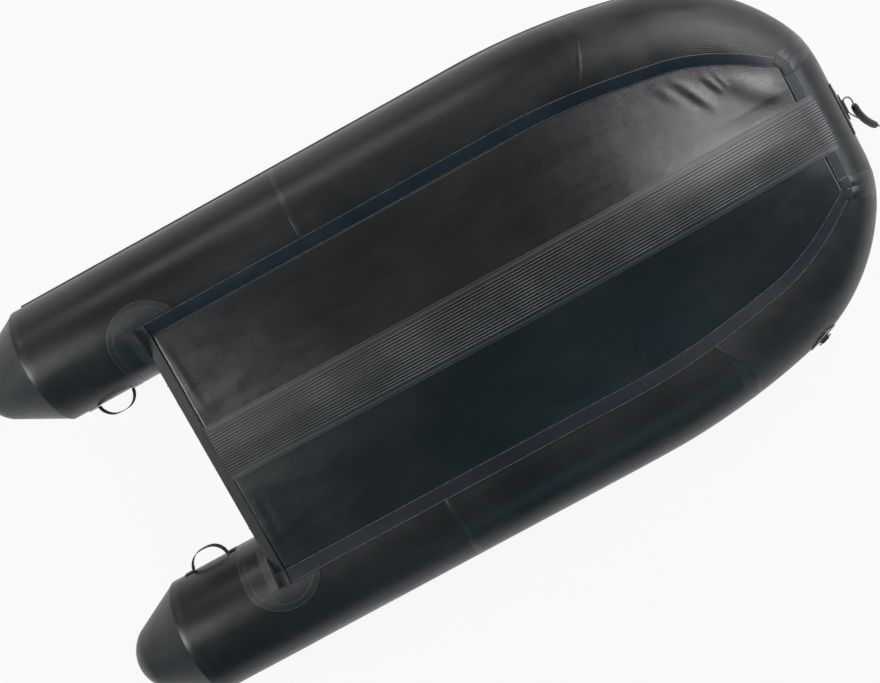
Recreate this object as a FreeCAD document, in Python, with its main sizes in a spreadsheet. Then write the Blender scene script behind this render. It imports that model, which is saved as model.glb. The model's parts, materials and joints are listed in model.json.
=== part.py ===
import FreeCAD, Part
import math
import os
import Sketcher
from FreeCAD import Placement, Rotation, Vector

# Inflatable boat with a soft keeled bottom, stored upside down on its tubes.
# The boat is drawn keel up: X runs from the transom to the bow, Y to starboard and Z to the keel,
# with X zero at the transom's aft face and Z zero at the height of the side tubes' centres.
# The finished pieces are then pitched and lifted together until the tubes stand on the floor.

doc = FreeCAD.newDocument("InflatableBoat")

# Driving sizes in millimetres and degrees

sizeTable = [
    ("beam", 1566, "overall width over the rub strakes"),
    ("tubeRadius", 217, "radius of the inflated tubes"),
    ("tailSeam", 390, "seam of the tail cone, aft of the transom"),
    ("coneRun", 190, "length of the straight taper of the tail cone"),
    ("coneEndRadius", 117, "radius where the taper meets the domed end"),
    ("coneDome", 62, "depth of the domed end"),
    ("kinkPlace", 1400, "where the bow tubes start to rise"),
    ("bowRise", 6, "angle by which the bow tubes rise"),
    ("easyRadius", 2490, "centre line radius of the first bow bend"),
    ("easyTurn", 13, "angle of the first bow bend"),
    ("tightRadius", 485, "centre line radius of the second bow bend"),
    ("bowHalf", 224.35, "half length of the bow tube, to its mitred corners"),
    ("cornerRun", 64, "straight tube before the mitred corner"),
    ("stubRun", 40, "extra tube that the seam planes trim away"),
    ("cutBlock", 2400, "side of the blocks that trim tubes at a seam"),
    ("glueGap", 0.3, "glue line between a tube and what is bonded to it"),
    ("rubThick", 8, "height of the rub strake"),
    ("rubHalfWidth", 27, "half width of the rub strake"),
    ("rubGroove", 3, "depth of the groove along the rub strake"),
    ("rubGrooveHalf", 8, "half width of that groove"),
    ("rubBevel", 4, "bevel of the strake's outer corners"),
    ("rubTurn", 10, "angle of the rub strake past the widest line, to the deck side"),
    ("rubStart", 370, "aft end of the rub strake, aft of the transom"),
    ("skinThick", 2.5, "thickness of the bottom cloth"),
    ("skinGap", 0.8, "glue line under the bottom cloth"),
    ("skinAft", 36, "aft edge of the bottom cloth"),
    ("chineTurn", 27, "angle from the tube's crown to the edge of the bottom cloth"),
    ("frontLean", 4, "the same angle on the bow tube, past the crown"),
    ("chinePower", 5, "how late along the bow the edge climbs over the crown"),
    ("keelDepth", 95, "height of the keel line over the bottom cloth's edges"),
    ("keelAftRise", 10, "height of the keel line over the cloth's edges at the transom"),
    ("keelPower", 1.25, "how far aft the keel line fills out"),
    ("keelRound", 300, "radius of the bottom cloth over the air keel"),
    ("leastSlope", 0.5, "angle under which a section of the bottom cloth counts as level"),
    ("levelHalf", 30, "half width of the middle part of a level section"),
    ("stripTurn", 13, "angle that the chine strip covers on the side tube"),
    ("stripFrontTurn", 8, "the same angle at the mitred corner"),
    ("stripGapTurn", 0.8, "angle between the chine strip and the cloth's edge"),
    ("stripThick", 2.8, "thickness of the chine strip"),
    ("strakeHalf", 104, "half width of the keel strake"),
    ("strakeBase", 3, "thickness of the keel strake between its ribs"),
    ("strakeMargin", 24, "plain margin on each side of the ribs"),
    ("ribHeight", 5, "height of a rib of the keel strake"),
    ("ribFoot", 7, "width of a rib at its foot"),
    ("ribCrest", 4, "width of a rib at its crest"),
    ("ribCount", 16, "number of ribs"),
    ("strakeEndTurn", 20, "angle at which the keel strake ends on the bow tube"),
    ("boardThick", 34, "thickness of the transom board"),
    ("boardKeelGap", 4, "from the keel line down to the transom board"),
    ("boardShoulderGap", 21, "from the tubes' deck side in to the transom board's shoulders"),
    ("boardMotorGap", 45, "the same to where a motor clamps"),
    ("motorShare", 0.5745, "half width of the motor's place, as a share of the room between the holders"),
    ("motorFlare", 34, "width of each slope beside the motor's place"),
    ("padInset", 5, "from the sides of the motor's place in to the pads' ends"),
    ("outerPadDeep", 210, "height of the pad on the aft face"),
    ("outerPadThick", 5, "thickness of the pad on the aft face"),
    ("innerPadDeep", 95, "height of the pad on the forward face"),
    ("innerPadThick", 12, "thickness of the pad on the forward face"),
    ("padCorner", 18, "corner radius of the motor pads"),
    ("patchThick", 2.5, "thickness of a doubler patch"),
    ("holderPatchRadius", 140, "half width of the transom holder's patch"),
    ("holderPatchReach", 108, "from the tube's centre line in to the centre of the patch's round end"),
    ("holderBase", 4, "thickness of the transom holder's base"),
    ("holderFoot", 40, "width of the base beyond each face of the board"),
    ("holderWeb", 6, "thickness of the holder's flanges"),
    ("holderWebHigh", 38, "height of the holder's flanges"),
    ("holderKeelTurn", 76, "angle that the holder wraps round the tube, to the keel side"),
    ("holderDeckTurn", 59, "angle that it wraps to the deck side, short of the ground"),
    ("clothRoom", 10, "room under the bottom cloth's edges that the holder leaves free"),
    ("floorThick", 12, "thickness of the floor boards"),
    ("floorSink", 67, "from the tubes' keel side in to the floor boards' upper face"),
    ("floorStart", 42, "aft edge of the first floor board"),
    ("floorBoard", 435, "length of a floor board"),
    ("floorJoint", 4, "gap between two floor boards"),
    ("bowBoardStart", -28, "aft edge of the bow board, measured from the kink"),
    ("bowBoardRun", 640, "distance along the tube that the bow board follows"),
    ("stringerHigh", 36, "height of a floor stringer"),
    ("stringerWide", 34, "width of a floor stringer"),
    ("stringerWeb", 5, "wall of a floor stringer behind the boards"),
    ("stringerStart", 165, "aft end of the stringers"),
    ("stringerRun", 1170, "length of the stringers"),
    ("slideGap", 0.3, "clearance where boards seat in the stringers"),
    ("benchPlace", 880, "middle of the bench"),
    ("benchWide", 230, "width of the bench along the boat"),
    ("benchThick", 22, "thickness of the bench board"),
    ("benchOverhang", 24, "how far the bench board reaches past the lip's inboard edge"),
    ("benchCorner", 40, "corner radius of the bench board"),
    ("railRun", 700, "length of a bench rail"),
    ("railTurn", 46.35, "angle of the rail's foot and lip from the deck side crown"),
    ("railFootTurn", 26, "angle that the rail's foot covers"),
    ("railFootThick", 4, "thickness of the rail's foot"),
    ("lipReach", 39, "how far the rail's lip stands off the tube"),
    ("lipThick", 6, "thickness of the rail's lip"),
    ("hookRun", 200, "length of a bench hook"),
    ("hookWall", 7, "wall of a bench hook"),
    ("hookReach", 21, "how far the hook's jaws reach over the lip"),
    ("hookGap", 0.6, "clearance between hook and lip"),
    ("lockPlace", 500, "place of the rowlocks along the boat"),
    ("lockTurn", 45, "angle of the rowlocks from the deck side crown, outboard"),
    ("lockDisc", 52, "radius of the rowlock's base"),
    ("lockDiscHigh", 7, "height of the base over the tube"),
    ("lockBoss", 24, "radius of the base's boss"),
    ("lockBossHigh", 28, "height of the boss over the tube"),
    ("lockPin", 9.95, "radius of the rowlock's pin"),
    ("pinPlay", 0.05, "running clearance of the pin in its bore, on the radius"),
    ("lockPinDeep", 20, "length of the pin in its bore"),
    ("lockCollar", 21, "radius of the rowlock's collar"),
    ("lockCollarHigh", 5, "thickness of the collar"),
    ("lockSeat", 0.4, "gap between collar and boss"),
    ("forkOuter", 36, "half width of the fork"),
    ("forkInner", 24, "half width of the fork's gap"),
    ("forkHigh", 62, "height of the fork over the collar"),
    ("forkFloor", 16, "height of the fork's floor over the collar"),
    ("forkThick", 16, "thickness of the fork"),
    ("forkTip", 6, "how far each horn's tip is bevelled"),
    ("ringTurn", 72, "angle of the rings' bars from the keel side crown"),
    ("sideRingPlace", 0.11, "place of a tow ring along the second bend, from 0 to 1"),
    ("sidePatchRadius", 60, "radius of a tow ring's patch"),
    ("sideRingHalf", 27, "half width of a tow ring, to the wire's middle"),
    ("sideRingWire", 3, "radius of a tow ring's wire"),
    ("bowPatchHalf", 97, "half width of the bow ring's patch"),
    ("bowPatchDeep", 56, "half height of the bow ring's patch"),
    ("bowRingHalf", 46, "half width of the bow ring, to the wire's middle"),
    ("bowRingWire", 4, "radius of the bow ring's wire"),
    ("ringPlay", 0.08, "running clearance of a ring's bar in its strap"),
    ("strapWall", 2.5, "thickness of the strap round a ring's bar"),
    ("strapShare", 0.62, "width of the strap, as a share of the ring's inner width"),
    ("ropeRadius", 3, "radius of the bow handle's rope"),
    ("sleeveRadius", 13, "radius of the grip on the bow handle's rope"),
    ("handleGap", 3, "gap between the holder's patch and a tail handle"),
    ("handleSpan", 138, "length of a tail handle between its tabs"),
    ("handleStand", 54, "how far a tail handle stands off the tube"),
    ("handleTab", 36, "length of each bonded tab of a tail handle"),
    ("webThick", 3, "thickness of the handles' webbing"),
    ("webWide", 38, "width of the handles' webbing"),
    ("valvePlace", 215, "place of the side valves, forward of the transom"),
    ("valveTurn", 62, "angle of the valves from the deck side crown, inboard"),
    ("valveFlange", 38, "radius of a valve's flange"),
    ("valveFlangeHigh", 4, "height of a valve's flange over the tube"),
    ("valveCap", 25, "radius of a valve's cap"),
    ("valveCapHigh", 11, "height of a valve's cap over the tube"),
    ("plugGap", 91.5, "between the drain plug's flange and the holder"),
    ("plugSink", 42, "from the transom board's keel side edge down to the drain"),
    ("plugBore", 15, "radius of the drain's bore in the board"),
    ("plugPlay", 0.2, "clearance of the plug in that bore"),
    ("plugFlange", 24, "radius of the plug's flange"),
    ("plugFlangeHigh", 5, "thickness of the plug's flange"),
    ("eyeGap", 32, "between the middle of a towing eye and the holder"),
    ("eyeHigh", 110, "height of the towing eyes on the keel side"),
    ("eyeRadius", 19, "radius of a towing eye, to the rod's middle"),
    ("eyeRod", 4, "radius of a towing eye's rod"),
    ("eyePlateHalf", 36, "half length of a towing eye's plate"),
    ("eyePlateWide", 22, "width of a towing eye's plate"),
    ("eyePlateThick", 4, "thickness of a towing eye's plate"),
]

# Sizes and places that follow from the driving ones, as formulas on the same sheet

followTable = [
    ("tubeSide", "=beam / 2 - rubThick - tubeRadius", "from the centre line to a side tube's middle"),
    ("bowReach", "=tubeSide - bowHalf - easyRadius * (1 - cos(easyTurn)) - tightRadius * cos(easyTurn)",
     "how far inboard the second bend and the last run must bring the tube"),
    ("tightTurn", "=(acos(-bowReach / hypot(tightRadius; cornerRun)) - atan(cornerRun / tightRadius)) / 1 deg"
                  " - easyTurn", "angle of the second bow bend"),
    ("clothEdge", "=(tubeRadius + skinGap) * cos(chineTurn)", "height of the bottom cloth's side edges"),
    ("keelAft", "=clothEdge + keelAftRise", "height of the keel line at the transom"),
    ("boardKeel", "=keelAft - boardKeelGap", "height of the transom board on the keel side"),
    ("boardShoulder", "=tubeRadius - boardShoulderGap", "height of its shoulders on the deck side"),
    ("boardMotor", "=tubeRadius - boardMotorGap", "its height where a motor clamps"),
    ("holderOuter", "=tubeRadius + 2 * glueGap + patchThick + holderBase + holderWebHigh",
     "radius of the holder's flanges about the tube"),
    ("motorHalf", "=motorShare * (tubeSide - holderOuter)", "half width of the motor's place at its floor"),
    ("padHalf", "=motorHalf - padInset", "half width of the motor pads"),
    ("clothZoneLow", "=clothEdge - clothRoom", "height above which the holder gives way to the bottom cloth"),
    ("floorLow", "=tubeRadius - floorSink", "height of the floor boards' upper face"),
    ("lipHigh", "=(tubeRadius + glueGap) * cos(railTurn)", "height of the rail's lip on the deck side"),
    ("lipInner", "=tubeSide - (tubeRadius + glueGap) * sin(railTurn) - lipReach", "the lip's inboard edge"),
    ("benchHalf", "=lipInner + benchOverhang", "half length of the bench board"),
    ("plugHigh", "=boardKeel - plugSink", "height of the drain on the keel side"),
    ("plugSide", "=tubeSide - sqrt((holderOuter + plugFlange + plugGap) ^ 2 - plugHigh ^ 2)",
     "distance of the drain from the centre line, to starboard"),
    ("eyeSide", "=tubeSide - sqrt((holderOuter + eyeGap) ^ 2 - eyeHigh ^ 2)",
     "distance of the towing eyes from the centre line"),
]

sheet = doc.addObject("Spreadsheet::Sheet", "Sizes")
for row, (alias, value, words) in enumerate(sizeTable + followTable, start=1):
    sheet.set("A%d" % row, words)
    sheet.set("B%d" % row, str(value))
    sheet.setAlias("B%d" % row, alias)
doc.recompute()


def size(alias):
    return float(sheet.get(alias))


def bind(thing, **cells):
    """Sets properties of an object: an expression on the sheet is bound, a worked out number is set."""
    for prop, value in cells.items():
        if isinstance(value, str):
            thing.setExpression(prop, value)
        else:
            setattr(thing, prop, value)
    return thing


# Sizes that follow from the driving ones

half = 0.5
twice = 2
quarterTurn = 90
halfTurn = 180
origin = Vector(0, 0, 0)
axisX = Vector(1, 0, 0)
axisY = Vector(0, 1, 0)
axisZ = Vector(0, 0, 1)

tubeRadius = size("tubeRadius")
tubeSide = size("tubeSide")
kinkPlace = size("kinkPlace")
bowFrame = Placement(Vector(kinkPlace, 0, 0), Rotation(axisY, size("bowRise")))
endTurn = size("easyTurn") + size("tightTurn")
mitreTurn = (endTurn + quarterTurn) * half


def sine(angle):
    return math.sin(math.radians(angle))


def cosine(angle):
    return math.cos(math.radians(angle))


def bowStation(run):
    """Centre of the bow tube in the bow's own frame, and its heading, at a distance from the kink."""
    easy = size("easyRadius")
    tight = size("tightRadius")
    easyRun = easy * math.radians(size("easyTurn"))
    tightRun = tight * math.radians(size("tightTurn"))
    heading = math.degrees(min(max(run, 0), easyRun) / easy)
    x = easy * sine(heading)
    y = tubeSide - easy * (cosine(0) - cosine(heading))
    if run > easyRun:
        heading += math.degrees(min(run - easyRun, tightRun) / tight)
        x += tight * (sine(heading) - sine(size("easyTurn")))
        y -= tight * (cosine(size("easyTurn")) - cosine(heading))
    straight = run if run < 0 else max(run - easyRun - tightRun, 0)
    return Placement(Vector(x + straight * cosine(heading), y - straight * sine(heading), 0),
                     Rotation(axisZ, -heading))


easyRun = size("easyRadius") * math.radians(size("easyTurn"))
bendRun = easyRun + size("tightRadius") * math.radians(size("tightTurn"))
mitreRun = bendRun + size("cornerRun")
mitrePoint = bowStation(mitreRun).Base
bowTubeFrame = bowFrame.multiply(Placement(Vector(mitrePoint.x, 0, 0), Rotation()))

nodes = []
riders = []


def keep(thing, label):
    """Names a finished piece, which is written out at the end."""
    thing.Label = label
    nodes.append(thing)
    return thing


def mirrored(source, label):
    """The port copy of a starboard piece."""
    copy = doc.addObject("Part::Mirroring", label.replace("_", "") + "Mirror")
    copy.Source = source
    copy.Normal = axisY
    riders.append(copy)
    return keep(copy, label)


def both(thing, name):
    keep(thing, "starboard_" + name)
    return mirrored(thing, "port_" + name)


def combine(kind, name, base, tool):
    result = doc.addObject("Part::" + kind, name)
    result.Base = base
    result.Tool = tool
    return result


def fuseAll(name, shapes):
    result = doc.addObject("Part::MultiFuse", name)
    result.Shapes = shapes
    return result


def cylinder(name, placement, radius, height):
    thing = doc.addObject("Part::Cylinder", name)
    bind(thing, Radius=radius, Height=height)
    thing.Placement = placement
    return thing


def box(name, placement, length, width, height):
    thing = doc.addObject("Part::Box", name)
    bind(thing, Length=length, Width=width, Height=height)
    thing.Placement = placement
    return thing


def alongX(place):
    """A placement whose Z runs along the boat's X."""
    return Placement(place, Rotation(axisY, quarterTurn))


def tubeShell(name, placement, low, high, length):
    return combine("Cut", name, cylinder(name + "Outer", placement, high, length),
                   cylinder(name + "Inner", placement, low, length))


def originPlane(body, role):
    return [plane for plane in body.Origin.OriginFeatures if plane.Role == role][0]


def outline(body, role, name, points):
    """A closed outline on one of the body's own planes, its corners bound to the sheet."""
    sketch = body.newObject("Sketcher::SketchObject", name)
    sketch.AttachmentSupport = [(originPlane(body, role), "")]
    sketch.MapMode = "FlatFace"
    count = len(points)
    for index in range(count):
        start = Vector(index, index * index, 0)
        end = Vector(index + 1, (index + 1) * (index + 1), 0)
        sketch.addGeometry(Part.LineSegment(start, end), False)
    for index in range(count):
        sketch.addConstraint(Sketcher.Constraint("Coincident", index, 2, (index + 1) % count, 1))
    for index, corner in enumerate(points):
        for kind, expression in zip(("DistanceX", "DistanceY"), corner):
            number = sketch.addConstraint(Sketcher.Constraint(kind, -1, 1, index, 1, index + 1.0))
            sketch.setExpression("Constraints[%d]" % number, expression)
    return sketch


def circles(body, role, name, rounds):
    """Full circles on one of the body's own planes, each a radius and a centre from the sheet."""
    sketch = body.newObject("Sketcher::SketchObject", name)
    sketch.AttachmentSupport = [(originPlane(body, role), "")]
    sketch.MapMode = "FlatFace"
    for index, (radius, x, y) in enumerate(rounds):
        sketch.addGeometry(Part.Circle(Vector(index, index, 0), axisZ, 1), False)
        for kind, expression in (("DistanceX", x), ("DistanceY", y)):
            number = sketch.addConstraint(Sketcher.Constraint(kind, -1, 1, index, 3, index + 1.0))
            sketch.setExpression("Constraints[%d]" % number, expression)
        number = sketch.addConstraint(Sketcher.Constraint("Radius", index, 1.0))
        sketch.setExpression("Constraints[%d]" % number, radius)
    return sketch


def newBody(name):
    return doc.addObject("PartDesign::Body", name)


def pad(body, name, profile, length, midplane=False, reversed=False):
    feature = body.newObject("PartDesign::Pad", name)
    feature.Profile = profile
    feature.Midplane = midplane
    feature.Reversed = reversed
    feature.setExpression("Length", length)
    return feature


def pocketThrough(body, name, profile):
    feature = body.newObject("PartDesign::Pocket", name)
    feature.Profile = profile
    feature.Type = "ThroughAll"
    feature.Midplane = True
    return feature


def revolve(body, name, profile, axis, angle, midplane=False):
    feature = body.newObject("PartDesign::Revolution", name)
    feature.Profile = profile
    feature.ReferenceAxis = (profile, [axis])
    feature.Midplane = midplane
    feature.setExpression("Angle", angle)
    return feature


# Seam planes: blocks that trim the tubes and what runs along them

kinkHalf = size("bowRise") * half
block = size("cutBlock")
aheadOfKink = box("aheadOfKink", Placement(Vector(kinkPlace, 0, 0), Rotation(axisY, kinkHalf)).multiply(
    Placement(Vector(0, -block * half, -block * half), Rotation())),
    "Sizes.cutBlock", "Sizes.cutBlock", "Sizes.cutBlock")
behindKink = box("behindKink", Placement(Vector(kinkPlace, 0, 0), Rotation(axisY, kinkHalf)).multiply(
    Placement(Vector(-block, -block * half, -block * half), Rotation())),
    "Sizes.cutBlock", "Sizes.cutBlock", "Sizes.cutBlock")


def mitreBlock(name, side, ahead):
    """A block on one side of a corner's seam plane, in front of it or behind it."""
    seam = bowFrame.multiply(Placement(Vector(mitrePoint.x, side * mitrePoint.y, 0),
                                       Rotation(axisZ, -side * mitreTurn)))
    corner = Vector(0 if ahead else -block, -block * half, -block * half)
    return box(name, seam.multiply(Placement(corner, Rotation())),
               "Sizes.cutBlock", "Sizes.cutBlock", "Sizes.cutBlock")


pastStarboardCorner = mitreBlock("pastStarboardCorner", 1, True)
beforeStarboardCorner = mitreBlock("beforeStarboardCorner", 1, False)
beforePortCorner = mitreBlock("beforePortCorner", -1, False)

# Tubes


def sideTube():
    blank = cylinder("sideTubeBlank", alongX(Vector(-size("tailSeam"), tubeSide, 0)),
                     "Sizes.tubeRadius", "Sizes.tailSeam + Sizes.kinkPlace + Sizes.stubRun")
    both(combine("Cut", "sideTube", blank, aheadOfKink), "side_tube")


def tailCone():
    """The straight taper and its domed end, turned about the tube's axis."""
    body = newBody("tailCone")
    sketch = body.newObject("Sketcher::SketchObject", "coneOutline")
    sketch.AttachmentSupport = [(originPlane(body, "XY_Plane"), "")]
    sketch.MapMode = "FlatFace"
    run = size("coneRun")
    endRadius = size("coneEndRadius")
    dome = size("coneDome")
    domeRadius = (endRadius * endRadius + dome * dome) / (dome + dome)
    tip = run + dome
    middle = Vector(-(tip - domeRadius), 0, 0)
    startAngle = math.atan2(endRadius, -run - middle.x)
    lines = [Part.LineSegment(origin, Vector(0, tubeRadius, 0)),
             Part.LineSegment(Vector(0, tubeRadius, 0), Vector(-run, endRadius, 0)),
             Part.LineSegment(Vector(-tip, 0, 0), origin)]
    for line in lines:
        sketch.addGeometry(line, False)
    arc = sketch.addGeometry(Part.ArcOfCircle(Part.Circle(middle, axisZ, domeRadius),
                                              startAngle, math.pi), False)
    for first, firstEnd, second, secondEnd in ((0, 2, 1, 1), (1, 2, arc, 1), (arc, 2, 2, 1), (2, 2, 0, 1)):
        sketch.addConstraint(Sketcher.Constraint("Coincident", first, firstEnd, second, secondEnd))
    sketch.addConstraint(Sketcher.Constraint("Coincident", 0, 1, -1, 1))
    sketch.addConstraint(Sketcher.Constraint("Vertical", 0))
    sketch.addConstraint(Sketcher.Constraint("Horizontal", 2))
    sketch.addConstraint(Sketcher.Constraint("PointOnObject", arc, 3, -1))
    for geometry, point, kind, value, expression in (
            (0, 2, "DistanceY", tubeRadius, "Sizes.tubeRadius"),
            (1, 2, "DistanceX", -run, "-Sizes.coneRun"),
            (1, 2, "DistanceY", endRadius, "Sizes.coneEndRadius"),
            (2, 1, "DistanceX", -tip, "-Sizes.coneRun - Sizes.coneDome")):
        number = sketch.addConstraint(Sketcher.Constraint(kind, -1, 1, geometry, point, value))
        sketch.setExpression("Constraints[%d]" % number, expression)
    revolve(body, "coneTurned", sketch, "H_Axis", "360")
    body.Placement = Placement(Vector(-size("tailSeam"), tubeSide, 0), Rotation())
    both(body, "tail_cone")


def bendPlacement(radius, turned):
    """Where a ring-shaped bend stands, so that it ends where the tube has turned that far."""
    station = bowStation(easyRun if turned > size("easyTurn") else 0)
    middle = station.multVec(Vector(0, -radius, 0))
    return bowFrame.multiply(Placement(middle, Rotation(axisZ, quarterTurn - turned)))


def bend(name, radius, turn, turned, thickness):
    ring = doc.addObject("Part::Torus", name)
    bind(ring, Radius1="Sizes." + radius, Radius2=thickness, Angle3="Sizes." + turn)
    ring.Placement = bendPlacement(size(radius), turned)
    return ring


def quarterBlank(name, thickness):
    """The bow tube from the kink to past the corner, as an untrimmed solid."""
    stub = bowStation(-size("stubRun"))
    last = bowStation(bendRun)
    return fuseAll(name, [
        cylinder(name + "Stub", bowFrame.multiply(alongX(stub.Base)), thickness, "Sizes.stubRun"),
        bend(name + "Easy", "easyRadius", "easyTurn", size("easyTurn"), thickness),
        bend(name + "Tight", "tightRadius", "tightTurn", endTurn, thickness),
        cylinder(name + "End", bowFrame.multiply(last).multiply(alongX(origin)), thickness,
                 "Sizes.cornerRun + Sizes.tubeRadius")])


def bowQuarter():
    blank = quarterBlank("quarterBlank", "Sizes.tubeRadius")
    trimmed = combine("Cut", "quarterBehind", blank, behindKink)
    both(combine("Cut", "bowQuarter", trimmed, pastStarboardCorner), "bow_quarter")


def acrossBow(reach):
    """A placement on the bow tube's centre line, port of the middle, with Z to starboard."""
    return bowTubeFrame.multiply(Placement(Vector(0, -reach, 0), Rotation(axisX, -quarterTurn)))


def bowTube():
    reach = mitrePoint.y + tubeRadius
    blank = doc.addObject("Part::Cylinder", "bowTubeBlank")
    bind(blank, Radius="Sizes.tubeRadius")
    blank.Height = reach + reach
    blank.Placement = acrossBow(reach)
    trimmed = combine("Cut", "bowTubeStarboard", blank, beforeStarboardCorner)
    keep(combine("Cut", "bowTube", trimmed, beforePortCorner), "bow_tube")


sideTube()
tailCone()
bowQuarter()
bowTube()

# Rub strakes: one profile, drawn out along the side, round both bends and across the bow


def rubProfile(name, placement):
    """The strake's section, with its base rounded to the tube and a groove along its face."""
    low = tubeRadius + size("glueGap")
    high = tubeRadius + size("rubThick")
    wide = size("rubHalfWidth")
    groove = size("rubGrooveHalf")
    bevel = size("rubBevel")
    slope = math.asin(wide / low)
    foot = low * math.cos(slope)
    base = Part.Arc(Vector(0, foot, -wide), Vector(0, low, 0), Vector(0, foot, wide)).toShape()
    corners = [(foot, wide), (high - bevel, wide), (high, wide - bevel), (high, groove + bevel),
               (high - size("rubGroove"), groove), (high - size("rubGroove"), -groove),
               (high, -groove - bevel), (high, bevel - wide), (high - bevel, -wide), (foot, -wide)]
    rest = Part.makePolygon([Vector(0, across, up) for across, up in corners])
    tilt = Placement(origin, Rotation(axisX, -size("rubTurn")))
    profile = doc.addObject("Part::Feature", name)
    profile.Shape = Part.Face(Part.Wire([base] + rest.Edges))
    profile.Placement = placement.multiply(tilt)
    return profile


def drawnOut(name, profile, direction, length):
    result = doc.addObject("Part::Extrusion", name)
    result.Base = profile
    result.DirMode = "Custom"
    result.Dir = direction
    result.LengthFwd = length
    result.Solid = True
    return result


def swungRound(name, profile, middle, angle):
    result = doc.addObject("Part::Revolution", name)
    result.Source = profile
    result.Base = bowFrame.multVec(middle)
    result.Axis = bowFrame.Rotation.multVec(axisZ)
    result.Angle = angle
    result.Solid = True
    return result


def rubStrakes():
    along = bowFrame.Rotation.multVec(axisX)
    start = rubProfile("rubStart", Placement(Vector(-size("rubStart"), tubeSide, 0), Rotation()))
    side = drawnOut("rubSideBlank", start, axisX, size("rubStart") + kinkPlace + size("stubRun"))
    side = combine("Cut", "rubSide", side, aheadOfKink)
    stub = rubProfile("rubStub", bowFrame.multiply(bowStation(-size("stubRun"))))
    kink = rubProfile("rubKink", bowFrame.multiply(bowStation(0)))
    joint = rubProfile("rubJoint", bowFrame.multiply(bowStation(easyRun)))
    last = rubProfile("rubLast", bowFrame.multiply(bowStation(bendRun)))
    endWay = bowFrame.Rotation.multVec(bowStation(bendRun).Rotation.multVec(axisX))
    easyMiddle = bowStation(0).multVec(Vector(0, -size("easyRadius"), 0))
    tightMiddle = bowStation(easyRun).multVec(Vector(0, -size("tightRadius"), 0))
    bowPart = fuseAll("rubBowBlank", [
        drawnOut("rubStubRun", stub, along, size("stubRun")),
        swungRound("rubEasy", kink, easyMiddle, -size("easyTurn")),
        swungRound("rubTight", joint, tightMiddle, -size("tightTurn")),
        drawnOut("rubEndRun", last, endWay, size("cornerRun") + tubeRadius)])
    bowPart = combine("Cut", "rubBehind", bowPart, behindKink)
    bowPart = combine("Cut", "rubBow", bowPart, pastStarboardCorner)
    both(fuseAll("rubStrake", [side, bowPart]), "rub_strake")
    reach = mitrePoint.y + tubeRadius
    facing = bowTubeFrame.multiply(Placement(Vector(0, -reach, 0), Rotation(axisZ, -quarterTurn)))
    front = drawnOut("rubFrontBlank", rubProfile("rubFront", facing), axisY, reach + reach)
    front = combine("Cut", "rubFrontStarboard", front, beforeStarboardCorner)
    keep(combine("Cut", "rubFrontBoth", front, beforePortCorner), "bow_rub_strake")


rubStrakes()

# Bottom cloth, chine strips and keel strake, lofted through stations along the boat

frontRadius = tubeRadius + size("skinGap")
frontPlace = mitrePoint.x + frontRadius * sine(size("frontLean"))
frontHigh = frontRadius * cosine(size("frontLean"))
bottomRun = kinkPlace + frontPlace


def chineTurnAt(run):
    """Angle of the cloth's edge from the tube's crown: it climbs over the crown along the bow."""
    share = min(max(run, 0) / mitreRun, 1) ** size("chinePower")
    return size("chineTurn") - share * (size("chineTurn") + size("frontLean"))


def stripTurnAt(run):
    """Angle that the chine strip covers: it narrows towards the mitred corner."""
    share = min(max(run, 0) / mitreRun, 1)
    return size("stripTurn") - share * (size("stripTurn") - size("stripFrontTurn"))


def onTube(frame, turn, radius):
    """A point on a tube, at an angle inboard of its keel side crown."""
    return frame.multVec(Vector(0, -radius * sine(turn), radius * cosine(turn)))


def keelHigh(distance):
    """Height of the cloth's inner face at the keel, over the plane of the tubes' centres."""
    share = min(distance / bottomRun, 1)
    base = size("keelAft") + share * (frontHigh - size("keelAft"))
    return base + size("keelDepth") * math.sin(math.pi * share ** size("keelPower"))


def sideFrame(x):
    return Placement(Vector(x, tubeSide, 0), Rotation())


sideShares = (0, 0.2, 0.4, 0.6, 0.8, 0.93)
bowShares = (0, 0.07, 0.15, 0.24, 0.33, 0.42, 0.5, 0.56, 0.62, 0.68, 0.75, 0.82, 0.89, 0.945, 0.975, 1)


def bottomStations():
    """Frame, distance, half width and edge height of each station of the bottom cloth."""
    found = []
    for share in sideShares:
        x = size("skinAft") + share * (kinkPlace - size("skinAft"))
        edge = onTube(sideFrame(x), size("chineTurn"), frontRadius)
        found.append((Placement(Vector(edge.x, 0, 0), Rotation()), edge.x, edge.y, edge.z))
    kinkFrame = Placement(Vector(kinkPlace, 0, 0), Rotation(axisY, kinkHalf))
    for share in bowShares:
        run = share * mitreRun
        edge = onTube(bowStation(run), chineTurnAt(run), frontRadius)
        if run == 0:
            frame = kinkFrame
        elif share == 1:
            edge = Vector(frontPlace, mitrePoint.y + (frontPlace - mitrePoint.x) * cosine(mitreTurn)
                          / sine(mitreTurn), frontHigh)
            frame = bowFrame.multiply(Placement(Vector(edge.x, 0, 0), Rotation()))
        else:
            frame = bowFrame.multiply(Placement(Vector(edge.x, 0, 0), Rotation()))
        found.append((frame, kinkPlace + edge.x, edge.y, edge.z))
    return found


def roundKeel(wide, edgeHigh, top):
    """The cloth's section: its angle from level where the flat side meets the round keel."""
    radius = size("keelRound")
    below = edgeHigh - (top - radius)
    reach = math.hypot(wide, below)
    return quarterTurn - math.degrees(math.atan2(below, wide) + math.acos(radius / reach))


def sectionPoint(across, wide, edgeHigh, top, lift):
    """A point of the cloth's section and the way it faces, at a distance from the keel line."""
    radius = size("keelRound")
    slope = roundKeel(wide, edgeHigh, top)
    roundReach = radius * math.radians(slope)
    side = math.copysign(1, across)
    turn = min(math.degrees(abs(across) / radius), slope)
    flat = max(abs(across) - roundReach, 0)
    y = side * (radius * sine(turn) + flat * cosine(slope))
    z = top - radius + radius * cosine(turn) - flat * sine(slope)
    return Vector(0, y + lift * side * sine(turn), z + lift * cosine(turn))


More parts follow.
